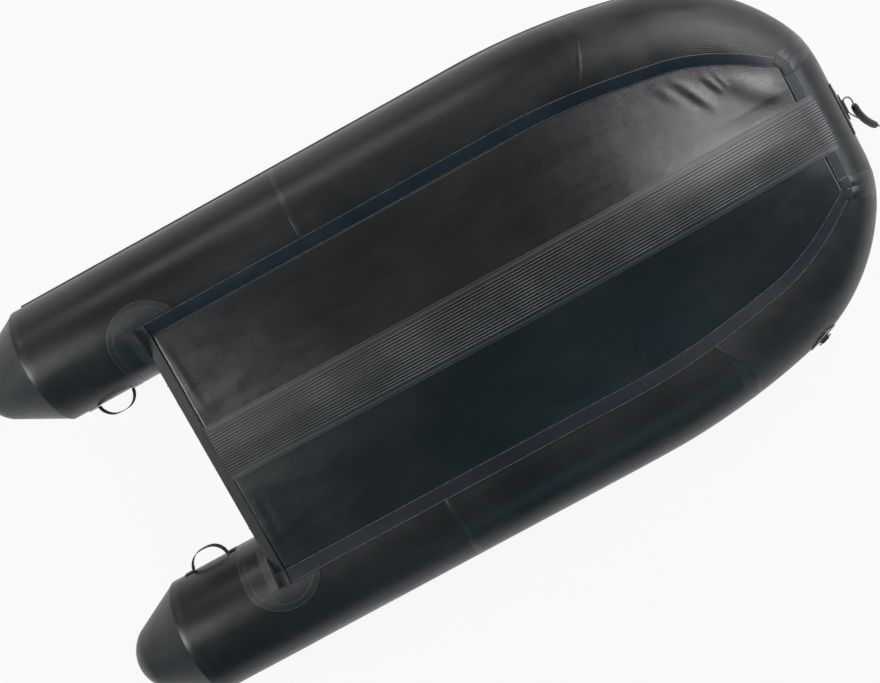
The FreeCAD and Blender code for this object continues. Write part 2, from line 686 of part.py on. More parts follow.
def spanning(first, middle, last, level):
    """The round part of a section, or a straight line where the section is level."""
    return (Part.LineSegment(first, last) if level else Part.Arc(first, middle, last)).toShape()


def clothSection(frame, wide, edgeHigh, top):
    """The closed section of the cloth: two flats joined by a round keel, and the same raised."""
    slope = roundKeel(wide, edgeHigh, top)
    radius = size("keelRound")
    level = slope < size("leastSlope")
    y = size("levelHalf") if level else radius * sine(slope)
    z = top - radius + radius * cosine(slope)
    edges = []
    rows = []
    for lift in (0, size("skinThick")):
        rows.append([Vector(0, -wide, edgeHigh + lift), Vector(0, -y, z + lift),
                     Vector(0, 0, top + lift), Vector(0, y, z + lift), Vector(0, wide, edgeHigh + lift)])
    low, high = rows
    edges.append(Part.LineSegment(low[0], low[1]).toShape())
    edges.append(spanning(low[1], low[2], low[3], level))
    edges.append(Part.LineSegment(low[3], low[4]).toShape())
    edges.append(Part.LineSegment(low[4], high[4]).toShape())
    edges.append(Part.LineSegment(high[4], high[3]).toShape())
    edges.append(spanning(high[3], high[2], high[1], level))
    edges.append(Part.LineSegment(high[1], high[0]).toShape())
    edges.append(Part.LineSegment(high[0], low[0]).toShape())
    wire = Part.Wire(edges)
    wire.Placement = frame
    return wire


def loftedInTwo(name, wires):
    """Two smooth lofts that share the section at the kink, so that neither bulges past it."""
    kink = len(sideShares)
    aft = Part.makeLoft(wires[:kink + 1], True, False)
    fore = Part.makeLoft(wires[kink:], True, False)
    thing = doc.addObject("Part::Feature", name)
    thing.Shape = aft.fuse(fore)
    return thing


def bottomCloth():
    wires = []
    for frame, distance, wide, edgeHigh in bottomStations():
        wires.append(clothSection(frame, wide, edgeHigh, keelHigh(distance)))
    keep(loftedInTwo("bottomCloth", wires), "bottom_cloth")


def stripPlan():
    """The bow part of a chine strip seen from the keel side: its two edges, closed by straight ends."""
    runs = [-size("stubRun")] + [share * mitreRun for share in bowShares] + [mitreRun + tubeRadius]
    curves = []
    for covered in (0, 1):
        points = []
        for run in runs:
            turn = chineTurnAt(run) - size("stripGapTurn") - covered * stripTurnAt(run)
            point = onTube(bowStation(run), turn, tubeRadius)
            points.append(Vector(point.x, point.y, 0))
        curve = Part.BSplineCurve()
        curve.interpolate(points)
        curves.append(curve)
    inner, outer = curves
    ends = [Part.LineSegment(inner.StartPoint, outer.StartPoint),
            Part.LineSegment(inner.EndPoint, outer.EndPoint)]
    return Part.Face(Part.Wire(Part.__sortEdges__([curve.toShape() for curve in curves + ends])))


def chineStrips():
    """Bands of the tubes' own skin: along each side, round the bends and across the bow."""
    low = "Sizes.tubeRadius + Sizes.glueGap"
    high = low + " + Sizes.stripThick"
    inner = size("chineTurn") - size("stripGapTurn")
    farSide = tubeSide - tubeRadius * sine(inner)
    nearSide = tubeSide - tubeRadius * sine(inner - size("stripTurn"))
    aft = size("skinAft")
    shell = tubeShell("stripSideShell", alongX(Vector(aft, tubeSide, 0)), low, high, "Sizes.cutBlock")
    band = box("stripSideBand", Placement(Vector(aft, farSide, 0), Rotation()),
               "Sizes.cutBlock", nearSide - farSide, "Sizes.cutBlock")
    side = combine("Cut", "stripSide", combine("Common", "stripSideWrapped", shell, band), aheadOfKink)
    shell = combine("Cut", "stripBowShell", quarterBlank("stripOuter", high), quarterBlank("stripInner", low))
    plan = doc.addObject("Part::Feature", "stripPlan")
    plan.Shape = stripPlan()
    plan.Placement = bowFrame
    band = drawnOut("stripBowBand", plan, bowFrame.Rotation.multVec(axisZ), block)
    bow = combine("Cut", "stripBehind", combine("Common", "stripBowWrapped", shell, band), behindKink)
    bow = combine("Cut", "stripBow", bow, pastStarboardCorner)
    both(combine("Fuse", "chineStrip", side, bow), "chine_strip")
    reach = mitrePoint.y + tubeRadius
    shell = tubeShell("frontStripShell", acrossBow(reach), low, high, reach + reach)
    start = size("frontLean") + size("stripGapTurn")
    near = tubeRadius * sine(start)
    far = tubeRadius * sine(start + size("stripFrontTurn"))
    band = box("frontStripBand", bowTubeFrame.multiply(Placement(Vector(near, -reach, 0), Rotation())),
               far - near, reach + reach, "Sizes.cutBlock")
    front = combine("Common", "frontStripWrapped", shell, band)
    front = combine("Cut", "frontStripStarboard", front, beforeStarboardCorner)
    keep(combine("Cut", "frontStrip", front, beforePortCorner), "bow_chine_strip")


def ribbedSection(surface):
    """The keel strake's closed section on a surface given by distance and height: base, margins, ribs."""
    strakeHalf = size("strakeHalf")
    base = size("strakeBase")
    crest = base + size("ribHeight")
    count = int(size("ribCount"))
    ribbed = strakeHalf - size("strakeMargin")
    pitch = (ribbed + ribbed) / count
    points = [surface(across * strakeHalf, 0) for across in baseShares]
    points.append(surface(strakeHalf, base))
    for index in reversed(range(count)):
        middle = (index + half) * pitch - ribbed
        for offset, height in ((size("ribFoot"), base), (size("ribCrest"), crest),
                               (-size("ribCrest"), crest), (-size("ribFoot"), base)):
            points.append(surface(middle + offset * half, height))
    points.append(surface(-strakeHalf, base))
    points.append(points[0])
    return points


baseShares = (-1, -0.87, -0.75, -0.62, -0.5, -0.37, -0.25, -0.12, 0,
              0.12, 0.25, 0.37, 0.5, 0.62, 0.75, 0.87, 1)
frontShares = (0.3, 0.65, 1)


def keelStrake():
    clear = size("skinThick") + size("glueGap")
    wires = []
    for frame, distance, wide, edgeHigh in bottomStations():
        top = keelHigh(distance)
        points = ribbedSection(lambda across, high: frame.multVec(
            sectionPoint(across, wide, edgeHigh, top, high + clear)))
        wires.append(Part.makePolygon(points))
    for share in frontShares:
        turn = size("frontLean") + share * (size("strakeEndTurn") - size("frontLean"))
        frame = bowTubeFrame.multiply(Placement(origin, Rotation(axisY, turn)))
        points = ribbedSection(lambda across, high: frame.multVec(
            Vector(0, across, frontRadius + high + clear)))
        wires.append(Part.makePolygon(points))
    keep(loftedInTwo("keelStrake", wires), "keel_strake")


bottomCloth()
chineStrips()
keelStrake()

# Transom board with its pads, holders and patches

seatRadius = ("Sizes.tubeRadius + 3 * Sizes.glueGap + Sizes.patchThick + Sizes.holderBase")


def transomBoard():
    body = newBody("transomBoard")
    side = "Sizes.tubeSide"
    shoulder = "-Sizes.boardShoulder"
    flare = "Sizes.motorHalf + Sizes.motorFlare"
    board = outline(body, "YZ_Plane", "boardOutline", [
        ("-" + side, "Sizes.boardKeel"), (side, "Sizes.boardKeel"), (side, shoulder),
        (flare, shoulder), ("Sizes.motorHalf", "-Sizes.boardMotor"),
        ("-Sizes.motorHalf", "-Sizes.boardMotor"), ("-(" + flare + ")", shoulder), ("-" + side, shoulder)])
    pad(body, "boardPad", board, "Sizes.boardThick")
    seats = circles(body, "YZ_Plane", "tubeSeats", [(seatRadius, side, "0"), (seatRadius, "-" + side, "0")])
    pocketThrough(body, "tubeSeatCut", seats)
    drain = circles(body, "YZ_Plane", "drainCircle", [("Sizes.plugBore", "Sizes.plugSide", "Sizes.plugHigh")])
    pocketThrough(body, "drainCut", drain)
    keep(body, "transom_board")


def motorPad(name, label, place, deep, thick):
    """A plate with two rounded corners toward the keel, flush with the board where the motor clamps."""
    plate = box(name + "Plate", Placement(place, Rotation()), thick, "2 * Sizes.padHalf", deep)
    rounded = doc.addObject("Part::Fillet", name)
    rounded.Base = plate
    doc.recompute()
    edges = []
    for number, edge in enumerate(plate.Shape.Edges, start=1):
        middle = edge.CenterOfMass
        level = edge.BoundBox.YLength < size("glueGap") and edge.BoundBox.ZLength < size("glueGap")
        if level and middle.z > place.z + size("padCorner"):
            edges.append((number, size("padCorner"), size("padCorner")))
    rounded.Edges = edges
    return keep(rounded, label)


def clothBlock():
    """The space of the bottom cloth and chine strip ahead of the board, cut from what would cross it."""
    edge = onTube(sideFrame(0), size("chineTurn") - size("stripTurn") - twice * size("stripGapTurn"),
                  frontRadius)
    clothZone = doc.addObject("Part::Box", "clothZone")
    bind(clothZone, Length="Sizes.cutBlock", Height="Sizes.cutBlock")
    clothZone.Width = edge.y
    clothZone.Placement = Placement(Vector(size("boardThick"), 0, size("clothZoneLow")), Rotation())
    return clothZone


def transomHolder():
    """A channel that grips the board's edge, turned about the tube's axis."""
    body = newBody("transomHolder")
    low = "Sizes.tubeRadius + 2 * Sizes.glueGap + Sizes.patchThick"
    base = low + " + Sizes.holderBase"
    tall = base + " + Sizes.holderWebHigh"
    far = "Sizes.boardThick + "
    channel = outline(body, "XZ_Plane", "channelOutline", [
        ("-Sizes.holderFoot", low), (far + "Sizes.holderFoot", low), (far + "Sizes.holderFoot", base),
        (far + "Sizes.glueGap + Sizes.holderWeb", base), (far + "Sizes.glueGap + Sizes.holderWeb", tall),
        (far + "Sizes.glueGap", tall), (far + "Sizes.glueGap", base), ("-Sizes.glueGap", base),
        ("-Sizes.glueGap", tall), ("-Sizes.glueGap - Sizes.holderWeb", tall),
        ("-Sizes.glueGap - Sizes.holderWeb", base), ("-Sizes.holderFoot", base)])
    revolve(body, "channelTurned", channel, "H_Axis", "Sizes.holderKeelTurn + Sizes.holderDeckTurn", True)
    lean = (size("holderKeelTurn") - size("holderDeckTurn")) * half
    body.Placement = Placement(Vector(0, tubeSide, 0), Rotation(axisX, quarterTurn - lean))
    both(combine("Cut", "holderTrimmed", body, clothZone), "transom_holder")


def holderPatch():
    """A long patch round the tube's inner side, with a round end over the keel side crown."""
    reach = size("holderPatchRadius")
    middle = size("boardThick") * half
    shell = tubeShell("holderShell", alongX(Vector(middle - reach, tubeSide, 0)),
                      "Sizes.tubeRadius + Sizes.glueGap",
                      "Sizes.tubeRadius + Sizes.glueGap + Sizes.patchThick", "2 * Sizes.holderPatchRadius")
    endY = tubeSide - size("holderPatchReach")
    inner = tubeSide - tubeRadius - size("holderPatchRadius")
    straight = doc.addObject("Part::Box", "holderPatchStraight")
    bind(straight, Length="2 * Sizes.holderPatchRadius", Height="Sizes.cutBlock")
    straight.Width = endY - inner
    straight.Placement = Placement(Vector(middle - reach, inner, -block * half), Rotation())
    roundEnd = cylinder("holderPatchEnd", Placement(Vector(middle, endY, -block * half), Rotation()),
                        "Sizes.holderPatchRadius", "Sizes.cutBlock")
    slot = combine("Fuse", "holderPatchSlot", straight, roundEnd)
    wrapped = combine("Common", "holderPatchWrapped", shell, slot)
    both(combine("Cut", "holderPatch", wrapped, clothZone), "holder_patch")


transomBoard()
motorPad("outerPad", "outer_motor_pad",
         Vector(-size("outerPadThick") - size("glueGap"), -size("padHalf"), -size("boardMotor")),
         "Sizes.outerPadDeep", "Sizes.outerPadThick")
motorPad("innerPad", "inner_motor_pad",
         Vector(size("boardThick") + size("glueGap"), -size("padHalf"), -size("boardMotor")),
         "Sizes.innerPadDeep", "Sizes.innerPadThick")
clothZone = clothBlock()
transomHolder()
holderPatch()

# Floor boards and the stringers that grip their edges

stringerLow = size("floorLow") + (size("floorThick") - size("stringerHigh")) * half
stringerOut = tubeSide - math.sqrt(tubeRadius ** 2 - stringerLow ** 2) - size("glueGap")
floorHalf = stringerOut - size("stringerWeb") - size("slideGap")


def floorBoards():
    start = size("floorStart")
    for name in ("aft", "middle", "fore"):
        board = doc.addObject("Part::Box", name + "Board")
        bind(board, Length="Sizes.floorBoard", Height="Sizes.floorThick")
        board.Width = floorHalf + floorHalf
        board.Placement = Placement(Vector(start, -floorHalf, size("floorLow")), Rotation())
        keep(board, name + "_floor_board")
        start += size("floorBoard") + size("floorJoint")


def bowBoard():
    """The bow board follows the tubes' inner sides and lies along the risen bow."""
    reach = math.sqrt(tubeRadius ** 2 - size("floorLow") ** 2) + size("glueGap") + size("slideGap")
    side = []
    for share in boardShares:
        side.append(bowStation(share * size("bowBoardRun")).multVec(Vector(0, -reach, 0)))
    aft = Vector(size("bowBoardStart"), side[0].y, 0)
    curves = []
    for way in (1, -1):
        curve = Part.BSplineCurve()
        curve.interpolate([Vector(point.x, way * point.y, 0) for point in side])
        curves.append(curve.toShape())
    last = side[-1]
    edges = [Part.LineSegment(aft, side[0]).toShape(), curves[0],
             Part.LineSegment(last, Vector(last.x, -last.y, 0)).toShape(), curves[1],
             Part.LineSegment(Vector(side[0].x, -side[0].y, 0), Vector(aft.x, -aft.y, 0)).toShape(),
             Part.LineSegment(Vector(aft.x, -aft.y, 0), aft).toShape()]
    board = doc.addObject("Part::Feature", "bowBoard")
    face = Part.Face(Part.Wire(Part.__sortEdges__(edges)))
    board.Shape = face.extrude(Vector(0, 0, size("floorThick")))
    board.Placement = bowFrame.multiply(Placement(Vector(0, 0, size("floorLow")), Rotation()))
    keep(board, "bow_floor_board")


boardShares = (0, 0.125, 0.25, 0.375, 0.5, 0.625, 0.75, 0.875, 1)


def stringer():
    """A channel along the edge of the boards, seated on the tube."""
    outer = doc.addObject("Part::Box", "stringerBar")
    bind(outer, Length="Sizes.stringerRun", Width="Sizes.stringerWide", Height="Sizes.stringerHigh")
    outer.Placement = Placement(Vector(size("stringerStart"), stringerOut - size("stringerWide"),
                                       stringerLow), Rotation())
    groove = doc.addObject("Part::Box", "stringerGroove")
    bind(groove, Length="Sizes.stringerRun", Width="Sizes.stringerWide",
         Height="Sizes.floorThick + 2 * Sizes.slideGap")
    groove.Placement = Placement(
        Vector(size("stringerStart"), stringerOut - size("stringerWide") - size("stringerWeb"),
               size("floorLow") - size("slideGap")), Rotation())
    both(combine("Cut", "stringer", outer, groove), "stringer")


floorBoards()
bowBoard()
stringer()

# Bench on hooks that slide along a rail on each tube


def benchRail():
    """A bonded foot with a level lip."""
    start = size("benchPlace") - size("railRun") * half
    shell = tubeShell("railShell", alongX(Vector(start, tubeSide, 0)),
                      "Sizes.tubeRadius + Sizes.glueGap",
                      "Sizes.tubeRadius + Sizes.glueGap + Sizes.railFootThick", "Sizes.railRun")
    wedge = doc.addObject("Part::Cylinder", "railWedge")
    bind(wedge, Radius="2 * Sizes.tubeRadius", Height="Sizes.railRun", Angle="Sizes.railFootTurn")
    turn = halfTurn + size("railTurn") + size("railFootTurn") * half
    wedge.Placement = alongX(Vector(start, tubeSide, 0)).multiply(
        Placement(origin, Rotation(axisZ, quarterTurn - (turn - quarterTurn))))
    foot = combine("Common", "railFoot", shell, wedge)
    lip = doc.addObject("Part::Box", "railLipBlank")
    bind(lip, Length="Sizes.railRun", Height="Sizes.lipThick")
    lip.Width = tubeSide - size("lipInner")
    lip.Placement = Placement(Vector(start, size("lipInner"), -size("lipHigh") - size("lipThick")),
                              Rotation())
    tube = cylinder("railTube", alongX(Vector(start, tubeSide, 0)),
                    "Sizes.tubeRadius + Sizes.glueGap", "Sizes.railRun")
    both(combine("Fuse", "benchRail", foot, combine("Cut", "railLip", lip, tube)), "bench_rail")


def benchHook():
    """A jaw that closes round the lip, its floor under the bench board."""
    body = newBody("benchHook")
    back = "Sizes.lipInner - Sizes.hookGap - Sizes.hookWall"
    throat = "Sizes.lipInner - Sizes.hookGap"
    out = "Sizes.lipInner + Sizes.hookReach"
    top = "-Sizes.lipHigh + Sizes.hookGap"
    low = "-Sizes.lipHigh - Sizes.lipThick - Sizes.hookGap"
    jaw = outline(body, "YZ_Plane", "jawOutline", [
        (back, low + " - Sizes.hookWall"), (out, low + " - Sizes.hookWall"), (out, low), (throat, low),
        (throat, top), (out, top), (out, top + " + Sizes.hookWall"), (back, top + " + Sizes.hookWall")])
    pad(body, "jawPad", jaw, "Sizes.hookRun", True)
    body.Placement = Placement(Vector(size("benchPlace"), 0, 0), Rotation())
    both(body, "bench_hook")


def benchBoard():
    plate = doc.addObject("Part::Box", "benchPlate")
    bind(plate, Length="Sizes.benchWide", Width="2 * Sizes.benchHalf", Height="Sizes.benchThick")
    face = size("lipHigh") + size("lipThick") + size("hookGap") + size("hookWall")
    plate.Placement = Placement(Vector(size("benchPlace") - size("benchWide") * half, -size("benchHalf"),
                                       -face - size("benchThick")), Rotation())
    rounded = doc.addObject("Part::Fillet", "benchBoard")
    rounded.Base = plate
    doc.recompute()
    upright = []
    for number, edge in enumerate(plate.Shape.Edges, start=1):
        if edge.BoundBox.ZLength > size("benchThick") * half:
            upright.append((number, size("benchCorner"), size("benchCorner")))
    rounded.Edges = upright
    keep(rounded, "bench_board")


benchRail()
benchHook()
benchBoard()

# Rowlocks that swivel in bonded bases

lockFrame = Placement(Vector(size("lockPlace"), tubeSide, 0), Rotation(axisX, halfTurn + size("lockTurn")))


def rowlockBase():
    inside = size("lockDisc") * half
    disc = cylinder("lockDiscBlank", Placement(Vector(0, 0, tubeRadius - inside), Rotation()),
                    "Sizes.lockDisc", "Sizes.lockDisc / 2 + Sizes.lockDiscHigh")
    boss = cylinder("lockBossBlank", Placement(Vector(0, 0, tubeRadius - inside), Rotation()),
                    "Sizes.lockBoss", "Sizes.lockDisc / 2 + Sizes.lockBossHigh")
    tube = cylinder("lockTube", alongX(Vector(-size("lockDisc"), 0, 0)),
                    "Sizes.tubeRadius + Sizes.glueGap", "2 * Sizes.lockDisc")
    floor = tubeRadius + size("lockBossHigh") - size("lockPinDeep") - size("lockSeat")
    bore = cylinder("lockBore", Placement(Vector(0, 0, floor), Rotation()),
                    "Sizes.lockPin + Sizes.pinPlay", "Sizes.lockBossHigh")
    base = combine("Cut", "rowlockBase", combine("Fuse", "lockSolid", disc, boss),
                   combine("Fuse", "lockCuts", tube, bore))
    base.Placement = lockFrame
    both(base, "rowlock_base")


def rowlock():
    """Pin, collar and open fork. Its own Z starts at the collar's foot."""
    body = newBody("rowlock")
    turned = outline(body, "XZ_Plane", "pinOutline", [
        ("0", "-Sizes.lockPinDeep"), ("Sizes.lockPin", "-Sizes.lockPinDeep"), ("Sizes.lockPin", "0"),
        ("Sizes.lockCollar", "0"), ("Sizes.lockCollar", "Sizes.lockCollarHigh"),
        ("0", "Sizes.lockCollarHigh")])
    revolve(body, "pinTurned", turned, "V_Axis", "360")
    foot = "Sizes.lockCollarHigh"
    top = "Sizes.lockCollarHigh + Sizes.forkHigh"
    floor = "Sizes.lockCollarHigh + Sizes.forkFloor"
    fork = outline(body, "XZ_Plane", "forkOutline", [
        ("-Sizes.lockCollar / 2", foot), ("Sizes.lockCollar / 2", foot), ("Sizes.forkOuter", floor),
        ("Sizes.forkOuter", top + " - Sizes.forkTip"), ("Sizes.forkOuter - Sizes.forkTip", top),
        ("Sizes.forkInner", top + " - Sizes.forkTip"), ("Sizes.forkInner", floor + " + Sizes.forkTip"),
        ("Sizes.forkInner - Sizes.forkTip", floor), ("-Sizes.forkInner + Sizes.forkTip", floor),
        ("-Sizes.forkInner", floor + " + Sizes.forkTip"), ("-Sizes.forkInner", top + " - Sizes.forkTip"),
        ("-Sizes.forkOuter + Sizes.forkTip", top), ("-Sizes.forkOuter", top + " - Sizes.forkTip"),
        ("-Sizes.forkOuter", floor)])
    pad(body, "forkPad", fork, "Sizes.forkThick", True)
    seat = tubeRadius + size("lockBossHigh") + size("lockSeat")
    body.Placement = lockFrame.multiply(Placement(Vector(0, 0, seat), Rotation()))
    both(body, "rowlock")


rowlockBase()
rowlock()

# Rings that swing in straps, on patches


def ringFrame(station):
    """On a bar's place: X along the tube, Z away from the tube and -Y down the tube's side."""
    return station.multiply(Placement(origin, Rotation(axisX, -size("ringTurn"))))


def barHigh(wire):
    return tubeRadius + size("patchThick") + twice * size("glueGap") + size("strapWall") + wire


def strap(name, frame, wire, ringHalf):
    """Webbing folded round the ring's bar: a block that hugs the bar, with a running bore."""
    wide = (ringHalf - wire) * size("strapShare")
    high = barHigh(wire)
    bore = wire + size("ringPlay")
    outer = bore + size("strapWall")
    cushion = Part.makeCylinder(outer, wide + wide, Vector(-wide, 0, high), axisX)
    low = tubeRadius + size("patchThick") + twice * size("glueGap")
    foot = Part.makeBox(wide + wide, outer + outer, high - low, Vector(-wide, -outer, low))
    hole = Part.makeCylinder(bore, wide + wide, Vector(-wide, 0, high), axisX)
    thing = doc.addObject("Part::Feature", name)
    thing.Shape = cushion.fuse(foot).cut(hole)
    thing.Placement = frame
    return thing


def dRing(name, frame, wire, ringHalf):
    """A straight bar closed by half a ring of the same wire, lying down the tube's side."""
    high = barHigh(wire)
    bar = Part.makeCylinder(wire, ringHalf + ringHalf, Vector(-ringHalf, 0, high), axisX)
    bow = Part.makeTorus(ringHalf, wire, Vector(0, 0, high), -axisZ, -halfTurn, halfTurn, halfTurn)
    corners = [Part.makeSphere(wire, Vector(side * ringHalf, 0, high)) for side in (-1, 1)]
    ring = bar.multiFuse([bow] + corners).removeSplitter()
    thing = doc.addObject("Part::Feature", name)
    thing.Shape = ring
    thing.Placement = frame
    return thing


sideStation = bowFrame.multiply(bowStation(
    easyRun + size("sideRingPlace") * size("tightRadius") * math.radians(size("tightTurn"))))
sideRingFrame = ringFrame(sideStation)
bowStationFrame = bowTubeFrame.multiply(Placement(origin, Rotation(axisZ, -quarterTurn)))
bowRingFrame = ringFrame(bowStationFrame)


def towRing():
    low = "Sizes.tubeRadius + Sizes.glueGap"
    high = low + " + Sizes.patchThick"
    shell = combine("Cut", "towShell", quarterBlank("towOuter", high), quarterBlank("towInner", low))
    punch = cylinder("towPunch", sideRingFrame, "Sizes.sidePatchRadius", "2 * Sizes.tubeRadius")
    both(combine("Common", "towPatch", shell, punch), "ring_patch")
    both(strap("towStrap", sideRingFrame, size("sideRingWire"), size("sideRingHalf")), "ring_strap")
    both(dRing("towRing", sideRingFrame, size("sideRingWire"), size("sideRingHalf")), "tow_ring")


def bowRing():
    shell = tubeShell("bowShell", acrossBow(size("bowPatchHalf")), "Sizes.tubeRadius + Sizes.glueGap",
                      "Sizes.tubeRadius + Sizes.glueGap + Sizes.patchThick", "2 * Sizes.bowPatchHalf")
    punch = box("bowPunch", bowRingFrame.multiply(
        Placement(Vector(-size("bowPatchHalf"), -size("bowPatchDeep"), 0), Rotation())),
        "2 * Sizes.bowPatchHalf", "2 * Sizes.bowPatchDeep", "2 * Sizes.tubeRadius")
    keep(combine("Common", "bowPatch", shell, punch), "bow_ring_patch")
    keep(strap("bowStrap", bowRingFrame, size("bowRingWire"), size("bowRingHalf")), "bow_ring_strap")
    keep(dRing("bowRing", bowRingFrame, size("bowRingWire"), size("bowRingHalf")), "bow_ring")


towRing()
bowRing()

# Bow handle: a rope through the bow ring, with a grip on it

# The rope is one loop whose ends meet under the ring's round.
# Each point is a distance to port, a drop and a distance forward, all from there.
ropeRoute = [(0, 0, 0), (-11, -1, 3), (-21, -1, 11), (-25, 1, 23), (-20, 3, 34), (-8, 6, 40), (7, 11, 41),
             (23, 21, 43), (43, 37, 49), (65, 57, 60), (86, 80, 74), (105, 104, 91), (121, 128, 109),
             (132, 149, 125), (139, 167, 138), (140, 182, 143), (135, 197, 142), (125, 209, 135),
             (110, 216, 122), (93, 218, 108), (75, 215, 94), (58, 206, 80), (44, 191, 68), (32, 171, 56),
             (23, 147, 46), (16, 121, 37), (11, 94, 28), (8, 68, 20), (6, 43, 12), (5, 19, 5),
             (4.2, 0.3, 0.4)]
gripFromCount = 6
gripToCount = 12
bendShare = 0.45


def ropeStart():
    """Just past the ring's round, in the boat's frame."""
    past = size("bowRingHalf") + size("bowRingWire") + size("ropeRadius") + size("glueGap")
    return bowRingFrame.multVec(Vector(0, past, barHigh(size("bowRingWire"))))


def ropePoints():
    start = ropeStart()
    return [start + Vector(forward, -port, -drop) for port, drop, forward in ropeRoute]


def softPath(points):
    """Straight runs joined by tangent arcs, each arc as large as its two runs allow."""
    edges = []
    radii = []
    at = points[0]
    for before, corner, after in zip(points, points[1:], points[2:]):
        arrive = (corner - before)
        leave = (after - corner)
        shorter = min(arrive.Length, leave.Length)
        arrive.normalize()
        leave.normalize()
        turn = arrive.getAngle(leave)
        setback = bendShare * shorter
        radius = setback / math.tan(turn * half)
        first = corner - arrive * setback
        last = corner + leave * setback
        inward = (leave - arrive).normalize()
        middle = corner + inward * (radius / math.cos(turn * half) - radius)
        edges.append(Part.LineSegment(at, first).toShape())
        edges.append(Part.Arc(first, middle, last).toShape())
        radii.append(radius)
        at = last
    edges.append(Part.LineSegment(at, points[-1]).toShape())
    return Part.Wire(edges), radii


def tubeAlong(wire, radius):
    start = wire.Edges[0]
    facing = start.tangentAt(start.FirstParameter)
    ring = Part.Wire(Part.makeCircle(radius, start.valueAt(start.FirstParameter), facing))
    return wire.makePipeShell([ring], True, False)


def bowHandle():
    points = ropePoints()
    path, radii = softPath(points)
    rope = doc.addObject("Part::Feature", "handleRope")
    rope.Shape = tubeAlong(path, size("ropeRadius"))
    keep(rope, "bow_handle_rope")
    print("rope length", round(path.Length, 1), "radii", [round(radius) for radius in radii])
    gripPath = Part.Wire(path.Edges[gripFromCount * twice:gripToCount * twice + 1])
    grip = doc.addObject("Part::Feature", "handleGrip")
    grip.Shape = tubeAlong(gripPath, size("sleeveRadius")).cut(
        tubeAlong(path, size("ropeRadius") + size("glueGap")))
    keep(grip, "bow_handle_grip")
    print("grip length", round(gripPath.Length, 1))
    return points


handlePoints = bowHandle()

# Webbing handles on the inner side of the tails


def tailHandle():
    """A strap that stands off the tube between two bonded tabs."""
    span = size("handleSpan") * half
    tab = size("handleTab")
    thick = size("webThick")
    wall = tubeSide - tubeRadius - size("glueGap") - thick * half
    crest = span * half
    line = [Vector(-span - tab, 0, 0), Vector(-span, 0, 0), Vector(-crest, -size("handleStand"), 0),
            Vector(crest, -size("handleStand"), 0), Vector(span, 0, 0), Vector(span + tab, 0, 0)]
    path, radii = softPath(line)
    wide = size("webWide")
    corners = [Vector(line[0].x, across * thick, up * wide)
               for across, up in ((-half, -half), (half, -half), (half, half), (-half, half), (-half, -half))]
    strip = doc.addObject("Part::Feature", "tailHandle")
    strip.Shape = path.makePipeShell([Part.makePolygon(corners)], True, False)
    patchEnd = size("holderPatchRadius") - size("boardThick") * half
    middle = patchEnd + size("handleGap") + tab + span
    strip.Placement = Placement(Vector(-middle, wall, 0), Rotation())
    both(strip, "tail_handle")


tailHandle()

# Inflation valves, drain plug and towing eyes


def valve(name, frame):
    """Flange and cap, turned, with the flange's foot rounded to the tube."""
    flange = cylinder(name + "Flange", Placement(Vector(0, 0, tubeRadius * half), Rotation()),
                      "Sizes.valveFlange", "Sizes.tubeRadius / 2 + Sizes.valveFlangeHigh")
    cap = cylinder(name + "Cap", Placement(Vector(0, 0, tubeRadius * half), Rotation()),
                   "Sizes.valveCap", "Sizes.tubeRadius / 2 + Sizes.valveCapHigh")
    tube = cylinder(name + "Tube", alongX(Vector(-tubeRadius, 0, 0)),
                    "Sizes.tubeRadius + Sizes.glueGap", "2 * Sizes.tubeRadius")
    result = combine("Cut", name, combine("Fuse", name + "Solid", flange, cap), tube)
    result.Placement = frame
    return result


def drainPlug():
    body = newBody("drainPlug")
    shape = outline(body, "XY_Plane", "plugOutline", [
        ("0", "0"), ("Sizes.boardThick", "0"), ("Sizes.boardThick", "Sizes.plugBore - Sizes.plugPlay"),
        ("-Sizes.glueGap", "Sizes.plugBore - Sizes.plugPlay"), ("-Sizes.glueGap", "Sizes.plugFlange"),
        ("-Sizes.glueGap - Sizes.plugFlangeHigh", "Sizes.plugFlange"),
        ("-Sizes.glueGap - Sizes.plugFlangeHigh", "0")])
    revolve(body, "plugTurned", shape, "H_Axis", "360")
    body.Placement = Placement(Vector(0, size("plugSide"), size("plugHigh")), Rotation())
    keep(body, "drain_plug")


def towingEye():
    """A bent rod on a plate, on the transom's aft face."""
    plate = box("eyePlate", Placement(Vector(-size("eyePlateThick") - size("glueGap"),
                                             size("eyeSide") - size("eyePlateWide") * half,
                                             size("eyeHigh") - size("eyePlateHalf")), Rotation()),
                "Sizes.eyePlateThick", "Sizes.eyePlateWide", "2 * Sizes.eyePlateHalf")
    rod = doc.addObject("Part::Torus", "eyeRod")
    bind(rod, Radius1="Sizes.eyeRadius", Radius2="Sizes.eyeRod", Angle3="180")
    facing = Rotation(axisZ, -axisX, -axisY, "ZXY")
    rod.Placement = Placement(Vector(-size("glueGap") - size("eyePlateThick") * half, size("eyeSide"),
                                     size("eyeHigh")), facing)
    both(combine("Fuse", "towingEye", plate, rod), "towing_eye")


valveFrame = Placement(Vector(size("valvePlace"), tubeSide, 0),
                       Rotation(axisX, halfTurn - size("valveTurn")))
both(valve("sideValve", valveFrame), "valve")
bowValveFrame = bowTubeFrame.multiply(Placement(origin, Rotation(axisZ, -quarterTurn))).multiply(
    Placement(origin, Rotation(axisX, halfTurn - size("valveTurn"))))
keep(valve("bowValve", bowValveFrame), "bow_valve")
drainPlug()
towingEye()

doc.recompute()

# Stance: pitched and lifted until the tail seams and the bow tube stand on the floor

